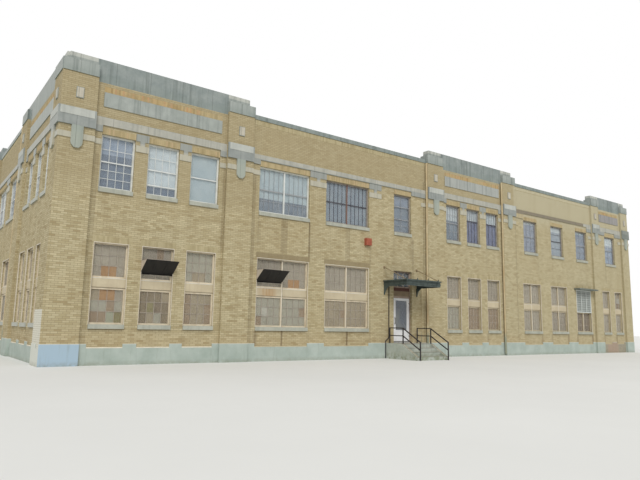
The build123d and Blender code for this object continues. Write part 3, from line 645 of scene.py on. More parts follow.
def makeDoorGlass():
    # Greyer and less clear
    finish = Finish("door glass", roughness=0.1, specular=0.8, alpha=0.7)
    film = finish.noise(2.0, stretch=(1, 1, 0.5), detail=5)
    finish.colour = finish.mix(finish.rise(film, 0.4, 0.65), (104, 112, 122), (136, 138, 134))
    return finish.done(roughness=finish.rise(film, 0.3, 0.7, 0.06, 0.2))


def makeStoopConcrete():
    # Worn concrete: brownish treads, a painted shadow line under each nosing, damp and olive at its foot
    finish = Finish("stoop concrete", roughness=0.92, specular=0.2)
    finish.colour = finish.mix(finish.spots(0.35, 0.65, scale=2.5, detail=8, roughness=0.7), (160, 168, 158),
                               (186, 190, 180))
    finish.lay((160, 146, 122), finish.looks(2), 0.55)
    riser = finish.sum("FRACT", finish.sum("DIVIDE", finish.z, landingTop / stoopRisers))
    lookFront = finish.under(finish.split(finish.normal)[1], -0.5)
    # Painted shadow under each nosing, on the faces of the risers
    finish.lay((92, 90, 80), finish.rise(riser, 0.80, 0.84), finish.rise(riser, 0.99, 0.94), lookFront, 0.55)
    finish.lay((112, 118, 84), finish.rise(finish.z, 0.4, 0.0), finish.spots(0.42, 0.6, scale=6, detail=7), 0.8)
    finish.lay((132, 128, 108), finish.spots(0.55, 0.72, 0.5, stretch=(9, 9, 1.5), detail=6))
    return finish.done(finish.noise(40, detail=5), 0.3, 0.004)


def makeFilletMortar():
    # Pale at the corner pavilion, dirtier along the rest of the front
    finish = Finish("fillet mortar", roughness=0.9)
    spots = finish.spots(0.35, 0.65, scale=6, detail=5)
    finish.colour = finish.mix(spots, (222, 215, 196), (202, 194, 172))
    finish.lay(finish.mix(spots, (188, 179, 152), (172, 160, 132)), finish.stretch(6.0, farEnd, 0.2))
    return finish.done(finish.noise(50), 0.3, 0.002)


def makeMottled(name, a, b, roughness=0.8, scale=3.0, wear=None, wearShare=0.3, flow=0.0, metallic=0.0, grain=60,
                depth=0.002):
    # Two shades in patches, worn or rusted in places, with a fine grain
    finish = Finish(name, roughness, metallic)
    finish.colour = finish.mix(finish.spots(0.35, 0.65, scale=scale, detail=6), a, b)
    if flow:
        finish.lay(wear or b, finish.spots(0.5, 0.75, flow, stretch=(14, 14, 1.0), detail=5))
    if wear:
        finish.lay(wear, finish.spots(0.62 - wearShare * 0.3, 0.72, 0.85, scale=scale * 4, detail=8, roughness=0.75))
    rough = finish.spots(0.3, 0.7, min(1.0, roughness + 0.08), roughness - 0.08, scale=scale * 2)
    return finish.done(finish.noise(grain, detail=4), 0.3, depth, rough)


frontBrick = makeBrick("front brick", "front")
sideBrick = makeBrick("side brick", "right_side")
backBrick = makeBrick("back brick", "back")
capStone = makeStone("cap stone", (158, 164, 160), (130, 139, 137), 0.6, 0.6, shade=capShade)
trimStone = makeStone("trim stone", (186, 184, 172), (164, 164, 154), 0.3, 0.4, shade=trimShade)
hoodStone = makeStone("hood stone", (160, 164, 159), (138, 143, 140), 0.3, 0.4, shade=hoodShade)
panelStone = makeStone("panel stone", (172, 177, 171), (148, 154, 148), 0.5, 0.4, 1.8, panelShade)
slabStone = makeStone("slab stone", (193, 195, 187), (174, 177, 170), 0.2, 0.3, noJoints, hoodShade)
paleStone = makeStone("pale stone", (200, 194, 178), (178, 172, 156), 0.2, 0.3)
sillStone = makeStone("sill stone", (184, 185, 172), (160, 162, 149), 0.3, 0.2, noJoints)
lintelBrick, plinthPaint, filletMortar = makeLintelBrick(), makePlinthPaint(), makeFilletMortar()
framePaint, spandrelPaint, pipePaint = makeFramePaint(), makeSpandrelPaint(), makePipePaint()
windowGlass, doorGlass = makeWindowGlass(), makeDoorGlass()
stoopConcrete, hopperPaint = makeStoopConcrete(), makeHopperPaint()

# Name, two shades, roughness, size of the patches, wear and how much of it, runs
floorConcrete = makeMottled("floor concrete", (150, 148, 142), (170, 168, 160), 0.9, depth=0.003)
roofFelt = makeMottled("roof felt", (96, 98, 98), (122, 123, 120), 0.95, 0.8, (140, 138, 130))
whitePaint = makeMottled("white paint", (206, 208, 204), (220, 222, 218), 0.55, 4)
greyPaint = makeMottled("grey paint", (140, 142, 144), (158, 160, 160), 0.6, 4)
darkPaint = makeMottled("dark paint", (64, 62, 68), (84, 80, 84), 0.6, 4)
barGrey = makeMottled("bar paint", (158, 148, 138), (178, 168, 154), 0.7, 6)
coverCream = makeMottled("cover cream", (206, 195, 173), (222, 213, 195), 0.55, 5, (176, 158, 128), 0.15)
flashingPaint = makeMottled("flashing paint", (206, 196, 176), (222, 214, 198), 0.6, 4, (168, 150, 122))
# Dark strips that paint shadow at the foot of the spandrels and in the gaps beside the lower mullion covers
shadowStripFinish = makeMottled("shadow strip", (96, 86, 70), (118, 104, 84), 0.8)
doorPaint = makeMottled("door paint", (220, 220, 222), (232, 232, 232), 0.45, 4, (170, 164, 158), 0.05)
# The door frame's brown-mauve is partly painted shade of the recess
jambPaintAndShade = makeMottled("door frame paint and shade", (150, 132, 118), (170, 154, 140), 0.6, 4, (128, 100, 84), 0.3, 0.3)
# The door head board's brown and beige are darkened, partly painted shade under the canopy
headBrownAndCanopyShade = makeMottled("door head paint and canopy shade", (78, 48, 40), (96, 62, 50), 0.6, 5, (64, 42, 36))
brownPaint = makeMottled("brown paint", (104, 66, 54), (128, 86, 70), 0.6, 5, (80, 50, 42))
beigeAndCanopyShade = makeMottled("beige paint", (122, 106, 84), (140, 122, 98), 0.65, 3, (100, 84, 64), 0.2)
steelPlain = makeMottled("plain steel", (128, 126, 122), (150, 148, 144), 0.4, 8, metallic=0.9)
ironPaint = makeMottled("black iron paint", (38, 36, 36), (56, 52, 52), 0.5, 6, (96, 64, 46), 0.1)
rodPaint = makeMottled("rod paint", (128, 112, 84), (146, 128, 98), 0.7, 6)
canopyPaint = makeMottled("canopy paint", (52, 62, 60), (78, 88, 84), 0.6, 4, (102, 110, 104), 0.25, 0.3)
shadePaint = makeMottled("shade paint", (96, 102, 94), (116, 122, 114), 0.6, 4)
screenGrey = makeMottled("louvre screen", (138, 142, 138), (156, 160, 155), 0.7, 6, grain=120)
galvanised = makeMottled("galvanised", (196, 202, 198), (214, 218, 214), 0.6, 9, (160, 164, 160), 0.2, metallic=0.1)
alarmRed = makeMottled("alarm red", (148, 76, 56), (168, 94, 70), 0.5, 6, (120, 64, 48), 0.2)

nodeFinishes = {
    frontBrick: ["front_wall_left", "front_wall_over_door", "front_wall_centre", "front_wall_right"],
    sideBrick: ["left_wall", "right_wall"],
    backBrick: ["back_wall"],
    plinthPaint: ["plinth"],
    floorConcrete: ["ground_floor", "upper_floor"],
    roofFelt: ["roof_deck"],
    capStone: ["pavilion_caps", "parapet_copings"],
    trimStone: ["belt_course", "head_trim"],
    hoodStone: ["pier_hoods"],
    panelStone: ["parapet_panels"],
    sillStone: ["window_sills"],
    framePaint: [side + "_window_frames" for side in sides],
    spandrelPaint: ["window_spandrels"],
    windowGlass: [side + "_window_glass" for side in sides],
    doorGlass: ["transom_glass", "door_glass"],
    doorPaint: ["front_door"],
    jambPaintAndShade: ["door_frame"],
    steelPlain: ["door_handle", "door_hinges", "door_hinge_knuckles"],
    stoopConcrete: ["entrance_stoop", "stoop_cheeks"],
    ironPaint: ["entrance_railings", "canopy_drain"],
    rodPaint: ["canopy_tie_rods"],
    canopyPaint: ["canopy_roof", "canopy_brackets", "canopy_finials"],
    shadePaint: ["louvre_shade"],
    galvanised: ["louvre_grille"],
    pipePaint: ["downpipes"],
    alarmRed: ["alarm_box"],
    hopperPaint: ["vent_hoppers"],
}
bare = set(nodes)
for finish, names in nodeFinishes.items():
    for name in names:
        mesh = nodes[name].data
        mesh.materials.clear()
        mesh.materials.append(finish)
        bare.discard(name)
print("finishes on", len(nodes) - len(bare), "nodes, without one:", sorted(bare))

# Upright brick courses over the windows, under the copings and over the long panels

soldierSettings = {"width": 0.0620, "pitch": 0.0677, "height": 0.208, "foot": 0.003, "proud": 0.004, "overLower": 0.06,
                   "underCoping": 0.213, "copingInset": 0.02}


def soldierCourse(shape, left, right, low):
    s = soldierSettings
    count = max(1, round((right - left) / s["pitch"]))
    pitch = (right - left) / count
    for i in range(count):
        x = left + i * pitch + (pitch - s["width"]) / 2
        shape.box(x, x + s["width"], bayFace - s["proud"], bayFace + lap, low + s["foot"], low + s["height"])


def drawSoldiers(shape):
    s = soldierSettings
    for window in windows[shape.side]:
        reach = 0.0 if window.upper else s["overLower"]
        soldierCourse(shape, window.low.x - reach, window.high.x + reach, window.high.z)
    for low, high in wallBoxes(shape.side, "parapet_panels"):
        if high.x - low.x > tabletWidest:
            soldierCourse(shape, low.x, high.x, high.z)
    for low, high in wallBoxes(shape.side, "parapet_copings"):
        soldierCourse(shape, low.x + s["copingInset"], high.x - s["copingInset"], low.z - s["underCoping"])


onSides("soldier_courses", drawSoldiers, [lintelBrick])
print("soldier courses made")

# Bars of the windows, a plain steel grid below and many kinds above, with a rail between two kinds

barSettings = {"bar": 0.016, "upperDepth": 0.012, "lowerDepth": 0.008, "rail": 0.040, "railFront": 0.012,
               "crossBack": 0.002, "lowerAcross": 4, "lowerRows": 3}
barPaints = {"white": whitePaint, "grey": greyPaint, "dark": darkPaint}

# From the sill up: to which share of the height, panes across, rows, paint
evenBars = [(0.5, 4, 3, "white"), (1.0, 4, 2, "white")]
frontBars = [
    evenBars,
    [(0.18, 4, 1, "white"), (0.5, 4, 1, "white"), (1.0, 4, 2, "white")],
    [(0.5, 1, 1, "white"), (1.0, 1, 1, "white")],
    [(0.5, 5, 2, "grey"), (1.0, 5, 1, "grey")],
    [(0.5, 5, 1, "dark"), (1.0, 5, 1, "dark")],
    [(0.35, 2, 2, "grey"), (0.7, 2, 1, "grey"), (1.0, 2, 1, "grey")],
    [(0.5, 3, 2, "grey"), (1.0, 5, 2, "grey")],
    [(0.66, 4, 1, "dark"), (1.0, 6, 1, "dark")],
    [(0.66, 3, 1, "dark"), (1.0, 6, 1, "dark")],
    [(0.5, 3, 3, "grey"), (1.0, 3, 2, "grey")],
    [(0.5, 1, 2, "dark"), (1.0, 1, 2, "dark")],
    [(0.5, 2, 2, "grey"), (1.0, 2, 2, "grey")],
    [(0.5, 2, 2, "grey"), (1.0, 4, 3, "white")],
]


def barGrid(shape, left, right, low, high, across, rows, depth, finish=0):
    # Bars that divide a light into panes, in front of its glass
    half = barSettings["bar"] / 2
    front = glassFace - depth
    for i in range(1, across):
        x = between(left, right, i / across)
        shape.box(x - half, x + half, front, glassFace, low, high, finish)
    for i in range(1, rows):
        z = between(low, high, i / rows)
        shape.box(left, right, front + barSettings["crossBack"], glassFace, z - half, z + half, finish)


def drawUpperBars(shape):
    s = barSettings
    for index, window in enumerate(windowRow(shape.side, True)):
        for a, b in window.lights:
            foot = a.z
            for share, across, rows, paint in (frontBars[index] if shape.side == "front" else evenBars):
                top = between(a.z, b.z, share)
                finish = list(barPaints).index(paint)
                barGrid(shape, a.x, b.x, foot, top, across, rows, s["upperDepth"], finish)
                if share < 1:
                    shape.box(a.x, b.x, frameFace + s["railFront"], glassFace, top - s["rail"] / 2, top + s["rail"] / 2,
                              finish)
                foot = top


def drawLowerBars(shape):
    s = barSettings
    for window in windowRow(shape.side, False):
        for a, b in window.lights:
            barGrid(shape, a.x, b.x, a.z, b.z, s["lowerAcross"], s["lowerRows"], s["lowerDepth"])


onSides("upper_bars", drawUpperBars, barPaints.values())
onSides("lower_bars", drawLowerBars, [barGrey])
print("window bars made")

# Panes behind the glass of the lower windows: painted over, some of them in other colours

paneTones = {
    "mauve": ((158, 152, 138), (170, 164, 150)),
    "warm": ((158, 146, 122), (170, 158, 134)),
    "grey": ((164, 164, 150), (174, 174, 160)),
    "ash": ((174, 169, 154), (186, 181, 166)),
    "green": ((156, 164, 142), (166, 172, 152)),
    "brown": ((148, 127, 103), (160, 140, 116)),
    "umber": ((118, 104, 82), (132, 118, 94)),
    "orange": ((184, 140, 88), (170, 124, 72)),
    "olive": ((138, 132, 86), (124, 118, 76)),
    "pale": ((184, 186, 176), (198, 198, 188)),
    "dark": ((104, 90, 74), (120, 104, 86)),
}
paneSettings = {
    "seed": 31,
    "behind": 0.010,
    "thickness": 0.004,
    "gap": 0.004,
    "shares": {"mauve": 50, "warm": 20, "grey": 20, "green": 3, "brown": 3, "olive": 1, "pale": 3},
}

# Upper and lower tier of each lower window on the front, where it is of one colour but for single panes
frontTiers = [("mauve", "grey"), ("mauve", "umber"), ("grey", "warm"), ("mauve", "grey"), ("mauve", "warm"),
              ("mauve", "grey"), ("mauve", "brown"), ("mauve", "brown"), ("ash", "ash"), ("ash", "mauve"),
              (None, "dark"), ("ash", "ash"), (None, "ash")]
tierAt = {(i, j): name for i, pair in enumerate(frontTiers) for j, name in enumerate(pair) if name}

# Single panes that stand out on the front: window, tier from the top, column, row from the top
frontPanes = {
    "orange": [(0, 0, 1, 2), (0, 0, 2, 2), (0, 1, 1, 0), (0, 1, 2, 0), (3, 0, 5, 2), (3, 0, 6, 2)],
    "brown": [(0, 1, 2, 1), (0, 1, 1, 2), (0, 1, 0, 2), (1, 0, 2, 0), (2, 1, 0, 0), (2, 1, 0, 1), (2, 1, 0, 2),
              (2, 1, 3, 1), (2, 1, 3, 2), (3, 1, 0, 2), (3, 1, 7, 1), (4, 1, 3, 1)],
    "warm": [(0, 1, 0, 0), (1, 1, 3, 0), (1, 1, 1, 2), (2, 1, 1, 0), (2, 0, 1, 2), (2, 0, 2, 2)],
    "olive": [(0, 1, 3, 2), (1, 1, 1, 1)],
    "green": [(0, 1, 2, 2)],
    "mauve": [(0, 1, 3, 0)],
    "dark": [(1, 1, 2, 1)],
    "grey": [(1, 1, 2, 2)],
    "pale": [(3, 1, 1, 1)],
}
paneAt = {place: name for name, places in frontPanes.items() for place in places}


def drawPanes(shape):
    s = paneSettings
    names, weights = zip(*s["shares"].items())
    columns, rows = barSettings["lowerAcross"], barSettings["lowerRows"]
    gap, front = s["gap"] / 2, glassBack + s["behind"]
    for index, window in enumerate(windowRow(shape.side, False)):
        tops = sorted({round(b.z, 3) for _, b in window.lights}, reverse=True)
        columnsBefore = {}
        for a, b in window.lights:
            tier = tops.index(round(b.z, 3))
            start = columnsBefore.get(tier, 0)
            columnsBefore[tier] = start + columns
            width, height = (b.x - a.x) / columns, (b.z - a.z) / rows
            for column in range(columns):
                for row in range(rows):
                    chosen = random.choices(names, weights)[0]
                    if shape.side == "front":
                        chosen = paneAt.get((index, tier, start + column, row), tierAt.get((index, tier), chosen))
                    x, top = a.x + column * width, b.z - row * height
                    shape.box(x + gap, x + width - gap, front, front + s["thickness"], top - height + gap, top - gap,
                              list(paneTones).index(chosen))


random.seed(paneSettings["seed"])
paneFinishes = [makeMottled(name + " pane", a, b, 0.6, 5, flow=0.25) for name, (a, b) in paneTones.items()]
onSides("lower_panes", drawPanes, paneFinishes)
print("lower panes made")

# What shows behind the upper windows: blinds, or the dark of the rooms

dressTones = {
    "night": ((96, 106, 122), (118, 128, 142)),
    "bright": ((146, 159, 175), (166, 176, 190)),
    "dusk": ((108, 116, 124), (136, 144, 150)),
    "haze": ((126, 136, 142), (150, 158, 163)),
    "greyLight": ((132, 140, 152), (150, 157, 168)),
    "mist": ((152, 160, 165), (172, 178, 181)),
    "violet": ((84, 84, 118), (112, 112, 142)),
    "paleGlass": ((198, 205, 203), (216, 221, 219)),
    "white": ((212, 222, 222), (224, 232, 232)),
    "pale": ((184, 198, 198), (194, 206, 206)),
    "lavender": ((150, 154, 166), (164, 168, 178)),
}
dressSettings = {"seed": 7, "back": 0.004, "slat": 0.044, "slatGap": 0.004, "slatInset": 0.01, "slatBack": 0.001,
                 "fold": 0.085, "foldGap": 0.006, "foldStep": 0.003, "stand": 0.004}

# From the head down: share of the height, finish, and sheet, slats or folds
frontDressings = [
    [(0.35, "bright", "sheet"), (0.65, "night", "sheet")],
    [(0.82, "white", "slats"), (0.18, "night", "sheet")],
    [(1.0, "pale", "slats")],
    [(0.68, "pale", "folds"), (0.32, "dusk", "sheet")],
    [(1.0, "haze", "folds")],
    [(0.30, "greyLight", "sheet"), (0.70, "dusk", "sheet")],
    [(0.42, "paleGlass", "sheet"), (0.58, "dusk", "sheet")],
    [(0.32, "paleGlass", "sheet"), (0.68, "violet", "sheet")],
    [(0.32, "white", "sheet"), (0.68, "violet", "sheet")],
    [(0.10, "paleGlass", "sheet"), (0.90, "lavender", "slats")],
    [(0.18, "paleGlass", "sheet"), (0.82, "mist", "sheet")],
    [(0.10, "pale", "sheet"), (0.90, "greyLight", "sheet")],
    [(0.30, "white", "sheet"), (0.70, "bright", "sheet")],
]
otherDressings = [frontDressings[i] for i in (0, 2, 4, 5, 6, 9)]


def dressWindow(shape, window, bands):
    s = dressSettings
    left, right, top = window.low.x, window.high.x, window.high.z
    back = frameBack + s["stand"] + s["back"]
    front = back - s["stand"]
    for share, name, style in bands:
        finish = list(dressTones).index(name)
        low = top - share * (window.high.z - window.low.z)
        shape.box(left, right, back, back + s["back"], low, top, finish)
        if style == "slats":
            count = round((top - low) / (s["slat"] + s["slatGap"]))
            pitch = (top - low) / count
            for i in range(count):
                foot, head = low + i * pitch + s["slatGap"], low + (i + 1) * pitch
                slat = [(front, foot), (back - s["slatBack"], foot), (back - s["slatBack"], head),
                        (back - s["stand"] / 2, head)]
                shape.outline(slat, left + s["slatInset"], right - s["slatInset"], finish)
        if style == "folds":
            count = round((right - left) / (s["fold"] + s["foldGap"]))
            pitch = (right - left) / count
            for i in range(count):
                x = left + i * pitch
                shape.box(x, x + pitch - s["foldGap"], front + s["foldStep"] * (i % 2), back, low, top, finish)
        top = low


def drawDressings(shape):
    for index, window in enumerate(windowRow(shape.side, True)):
        bands = frontDressings[index] if shape.side == "front" else random.choice(otherDressings)
        dressWindow(shape, window, bands)


random.seed(dressSettings["seed"])
dressFinishes = [makeMottled(name + " dressing", a, b, 0.7, 3, flow=0.2) for name, (a, b) in dressTones.items()]
onSides("upper_dressings", drawDressings, dressFinishes)
print("upper dressings made")

# Covers on the mullions of the wide windows, over the spandrel too, a dark strip of painted shadow along the foot of
# each spandrel and a white strip of painted highlight along its top

coverSettings = {"width": 0.048, "gap": 0.014, "front": 0.195, "gapFront": 0.199, "upperProud": 0.008, "drip": 0.012,
                 "stripProud": 0.010}
brownWindow = windowRow("front", True)[4]


def drawCovers(shape):
    s = coverSettings
    for window in windows[shape.side]:
        edges = sorted({round(b.x, 3) for _, b in window.lights})
        starts = sorted({round(a.x, 3) for a, _ in window.lights})
        for right, left in zip(edges, starts[1:]):
            x = (left + right) / 2 - s["width"] / 2
            edge, back, foot, head = x + s["width"], frameFace + lap, window.low.z, window.high.z
            if window.upper:
                shape.box(x, edge, frameFace - s["upperProud"], back, foot, head, 2 if window is brownWindow else 0)
            else:
                shape.box(x, edge, s["front"], back, foot, head, 3)
                # A dark strip of painted shadow in the gap beside each lower cover
                shape.box(edge, edge + s["gap"], s["gapFront"], back, foot, head, 1)
    for low, high in wallBoxes(shape.side, "window_spandrels"):
        # Painted shadow along the foot of each spandrel, and a painted highlight along its top
        shape.box(low.x, high.x, low.y - s["stripProud"], low.y, low.z, low.z + s["drip"], 1)
        shape.box(low.x, high.x, low.y - s["stripProud"] / 2, low.y, high.z - s["drip"], high.z)


onSides("mullion_covers", drawCovers, [whitePaint, shadowStripFinish, brownPaint, coverCream], 0.002)
print("mullion covers made")

# Stone: a face on each small tablet, and a paler top slab on each pier hood

stoneSettings = {"slabShare": 0.45, "slabProud": 0.010, "slabInset": 0.06, "slabDrop": 0.004, "tabletInset": 0.018,
                 "tabletProud": 0.010}


def drawTablets(shape):
    inset = stoneSettings["tabletInset"]
    for low, high in wallBoxes(shape.side, "parapet_panels"):
        if high.x - low.x < tabletWidest:
            shape.box(low.x + inset, high.x - inset, low.y - stoneSettings["tabletProud"], low.y + lap, low.z + inset,
                      high.z - inset)


def drawSlabs(shape):
    s = stoneSettings
    for low, high in wallBoxes(shape.side, "pier_hoods", deepest=2.0):
        shape.box(low.x + s["slabInset"], high.x - s["slabInset"], low.y - s["slabProud"], low.y + lap,
                  high.z - (high.z - low.z) * s["slabShare"], high.z - s["slabDrop"])


for side in ("front", "left_side", "right_side"):
    onSides("tablet_faces", drawTablets, [paleStone], 0.006, [side])
    onSides("hood_slabs", drawSlabs, [slabStone], 0.004, [side])

# A mortar fillet on the low parts of the base course, under each lower window

filletSettings = {"height": 0.034, "reach": 0.014, "plinthLow": 0.55}


def drawFillets(shape):
    s = filletSettings
    foot = s["plinthLow"]
    for window in windowRow(shape.side, False):
        shape.outline([(bayFace - s["reach"], foot), (bayFace, foot), (bayFace, foot + s["height"])], window.low.x,
                      window.high.x)


onSides("base_fillets", drawFillets, [filletMortar])

# Pale metal strips under the head and down both edges of each lower window, at the brick's edge

flashingSettings = {"height": 0.022, "edge": 0.016, "depth": 0.034, "proud": 0.003}


def drawFlashings(shape):
    s = flashingSettings
    front, back = bayFace - s["proud"], bayFace + s["depth"]
    for window in windowRow(shape.side, False):
        foot = window.high.z - s["height"]
        shape.box(window.low.x, window.high.x, front, back, foot, window.high.z + lap)
        for x in (window.low.x, window.high.x - s["edge"]):
            shape.box(x, x + s["edge"], front, back, window.low.z, foot)


onSides("head_flashings", drawFlashings, [flashingPaint])
print("stone detail made")

# Entrance: head board, glazing stops and panel mouldings on the leaf, bars in the light above

doorSettings = {
    "stop": 0.022,
    "stopProud": 0.006,
    "panelInset": 0.11,
    "panelLow": 0.09,
    "panelHigh": 0.50,
    "kickInset": 0.02,
    "kickProud": 0.002,
    "kickFoot": 0.008,
    "kickHeight": 0.07,
    "headProud": 0.010,
    "headStep": 0.004,
    "headBottomGap": 0.10,
    "headTopGap": 0.06,
    "brownShare": 0.4,
    "transomBar": 0.024,
    "transomBarDepth": 0.016,
}
s = doorSettings
leafLow, leafHigh = frontBox("front_door")
glassLow, glassHigh = frontBox("door_glass")
transomLow, transomHigh = frontBox("transom_glass")


def moulding(shape, left, right, low, high):
    # Four strips round a rectangle on the leaf, just inside it
    width, front, back = s["stop"], leafLow.y - s["stopProud"], leafLow.y
    shape.box(left, right, front, back, low, low + width)
    shape.box(left, right, front, back, high - width, high)
    shape.box(left, left + width, front, back, low + width, high - width)
    shape.box(right - width, right, front, back, low + width, high - width)


shape = Shape()
moulding(shape, glassLow.x - s["stop"], glassHigh.x + s["stop"], glassLow.z - s["stop"], glassHigh.z + s["stop"])
moulding(shape, leafLow.x + s["panelInset"], leafHigh.x - s["panelInset"], leafLow.z + s["panelLow"],
         leafLow.z + s["panelHigh"])
makePiece("door_mouldings", shape, [doorPaint], 0.002, body="front_door")

shape = Shape()
shape.box(leafLow.x + s["kickInset"], leafHigh.x - s["kickInset"], leafLow.y - s["kickProud"], leafLow.y,
          leafLow.z + s["kickFoot"], leafLow.z + s["kickHeight"])
makePiece("door_kick_plate", shape, [steelPlain], body="front_door")

shape = Shape()
headFoot, headTop = leafHigh.z + s["headBottomGap"], transomLow.z - s["headTopGap"]
parting = between(headTop, headFoot, s["brownShare"])
headFront = leafLow.y - s["headProud"]
# Both colours of the head board are partly painted shade under the canopy
shape.box(transomLow.x, transomHigh.x, headFront, leafLow.y, headFoot, parting, 1)
shape.box(transomLow.x, transomHigh.x, headFront - s["headStep"], leafLow.y, parting, headTop)
makePiece("door_head_board", shape, [headBrownAndCanopyShade, beigeAndCanopyShade], 0.003)

shape = Shape()
for share in (1 / 3, 2 / 3):
    x = between(transomLow.x, transomHigh.x, share)
    shape.bar(x, s["transomBar"], transomLow.y - s["transomBarDepth"], transomLow.y, transomLow.z, transomHigh.z)
makePiece("transom_bars", shape, [framePaint])

# Canopy: rosettes where the tie rods meet the wall, beads along the fascia, seams on its top

canopySettings = {
    "rosetteDrop": 0.03,
    "rosette": [(0, 0.065), (0.012, 0.065), (0.018, 0.052), (0.018, 0.0325), (0.034, 0.0273)],  # proud, radius
    "crown": 0.04,
    "bead": 0.016,
    "beads": (0.28, 0.56),
    "seam": 0.012,
    "seamCount": 5,
    "seamFront": 0.06,
}
s = canopySettings
canopyLow, canopyHigh = frontBox("canopy_roof")
shape = Shape()
for low, high in solidBoxes("canopy_tie_rods"):
    tie = toWall("front", Vector(((low.x + high.x) / 2, high.y, high.z - s["rosetteDrop"])))
    shape.turned([(tie.x, bayFace - proud, tie.z, radius) for proud, radius in s["rosette"]])
makePiece("tie_rosettes", shape, [rodPaint])

shape = Shape()
bead = s["bead"]
left, right, front = canopyLow.x + s["crown"], canopyHigh.x - s["crown"], canopyLow.y + s["crown"]
for share in s["beads"]:
    z = between(canopyLow.z, canopyHigh.z, share)
    shape.box(left - bead, right + bead, front - bead, front, z, z + bead)
    shape.box(left - bead, left, front, bayFace, z, z + bead)
    shape.box(right, right + bead, front, bayFace, z, z + bead)
makePiece("canopy_beads", shape, [canopyPaint], 0.004)

shape = Shape()
for i in range(s["seamCount"]):
    x = between(canopyLow.x, canopyHigh.x, (i + 0.5) / s["seamCount"])
    shape.bar(x, s["seam"], canopyLow.y + s["seamFront"], bayFace, canopyHigh.z, canopyHigh.z + s["seam"])
makePiece("canopy_seams", shape, [canopyPaint])

# Conduit on the wall beside the door, from the canopy down to the landing

conduitSettings = {"x": 16.84, "radius": 0.011, "firstClip": 0.4, "clipEvery": 0.8, "clip": 0.056,
                   "clipProud": 0.026, "clipHeight": 0.018}
s = conduitSettings
shape = Shape()
shape.collar(s["x"], bayFace - s["radius"], landingTop, canopyLow.z, s["radius"], count=12)
z = landingTop + s["firstClip"]
while z < canopyLow.z:
    shape.bar(s["x"], s["clip"], bayFace - s["clipProud"], bayFace, z, z + s["clipHeight"])
    z += s["clipEvery"]
makePiece("wall_conduit", shape, [pipePaint])

# Base plates of the railing posts on the landing

plateSettings = {"width": 0.10, "depth": 0.06, "thickness": 0.006, "backPost": 0.021, "frontPost": -0.909}
s = plateSettings
shape = Shape()
for low, high in solidBoxes("entrance_railings"):
    rail = toWall("front", Vector(((low.x + high.x) / 2, high.y, 0)))
    for y in (rail.y - s["backPost"], s["frontPost"]):
        shape.bar(rail.x, s["width"], y - s["depth"] / 2, y + s["depth"] / 2, landingTop, landingTop + s["thickness"])
makePiece("railing_base_plates", shape, [ironPaint])

# Sleeves on the downpipes, which stand a radius in from the outer side of their brackets

sleeveSettings = {"height": 0.09, "pipe": 0.05, "proud": 0.008, "levels": (2.4, 4.6, 7.0)}
s = sleeveSettings
shape = Shape()
for low, high in solidBoxes("downpipes"):
    centre = (low + high) / 2
    if high.x - low.x < high.y - low.y:
        centre.y = low.y + s["pipe"]
    else:
        centre.x = low.x + s["pipe"]
    pipe = toWall("front", centre)
    for foot in s["levels"]:
        shape.collar(pipe.x, pipe.y, foot, foot + s["height"], s["pipe"] + s["proud"])
makePiece("downpipe_sleeves", shape, [pipePaint])

# Louvre: two mullions before the blades and a screen behind them

louvreSettings = {"mullion": 0.04, "front": 0.004, "back": 0.02, "ends": 0.03, "screenInset": 0.02,
                  "screen": (0.008, 0.003)}
s = louvreSettings
louvreLow, louvreHigh = frontBox("louvre_grille")
shape = Shape()
for share in (1 / 3, 2 / 3):
    x = between(louvreLow.x, louvreHigh.x, share)
    shape.bar(x, s["mullion"], louvreLow.y - s["front"], louvreLow.y + s["back"], louvreLow.z + s["ends"],
              louvreHigh.z - s["ends"])
makePiece("louvre_mullions", shape, [galvanised], 0.002)

shape = Shape()
inset = s["screenInset"]
shape.box(louvreLow.x + inset, louvreHigh.x - inset, louvreHigh.y - s["screen"][0], louvreHigh.y - s["screen"][1],
          louvreLow.z + inset, louvreHigh.z - inset)
makePiece("louvre_screen", shape, [screenGrey])

# Cover of the alarm box, with slots low on it

alarmSettings = {"inset": 0.03, "proud": 0.006, "slots": 5, "slotInset": 0.08, "slotProud": 0.004, "slotHeight": 0.012,
                 "firstSlot": 0.09, "slotEvery": 0.03}
s = alarmSettings
alarmLow, alarmHigh = frontBox("alarm_box")
shape = Shape()
coverFront = alarmLow.y - s["proud"]
shape.box(alarmLow.x + s["inset"], alarmHigh.x - s["inset"], coverFront, alarmLow.y, alarmLow.z + s["inset"],
          alarmHigh.z - s["inset"])
for i in range(s["slots"]):
    z = alarmLow.z + s["firstSlot"] + i * s["slotEvery"]
    shape.box(alarmLow.x + s["slotInset"], alarmHigh.x - s["slotInset"], coverFront - s["slotProud"], coverFront, z,
              z + s["slotHeight"])
makePiece("alarm_cover", shape, [alarmRed], 0.003)

# Seams down the sloping plates of the hoppers

seamSettings = {"width": 0.010, "proud": 0.008, "shares": (0.33, 0.67)}
s = seamSettings
shape = Shape()
for low, high in solidBoxes("vent_hoppers"):
    a, b = toWall("front", low), toWall("front", high)
    top, foot = Vector((a.y, b.z)), Vector((b.y, a.z))
    slope = (foot - top).normalized()
    out = Vector((slope.y, -slope.x)) * s["proud"]
    for share in s["shares"]:
        x = between(a.x, b.x, share)
        shape.outline([top, foot, foot + out, top + out], x - s["width"] / 2, x + s["width"] / 2)
makePiece("hopper_seams", shape, [ironPaint])
print("entrance and wall fittings made")

# Laps of the roof felt, one sheet over the next

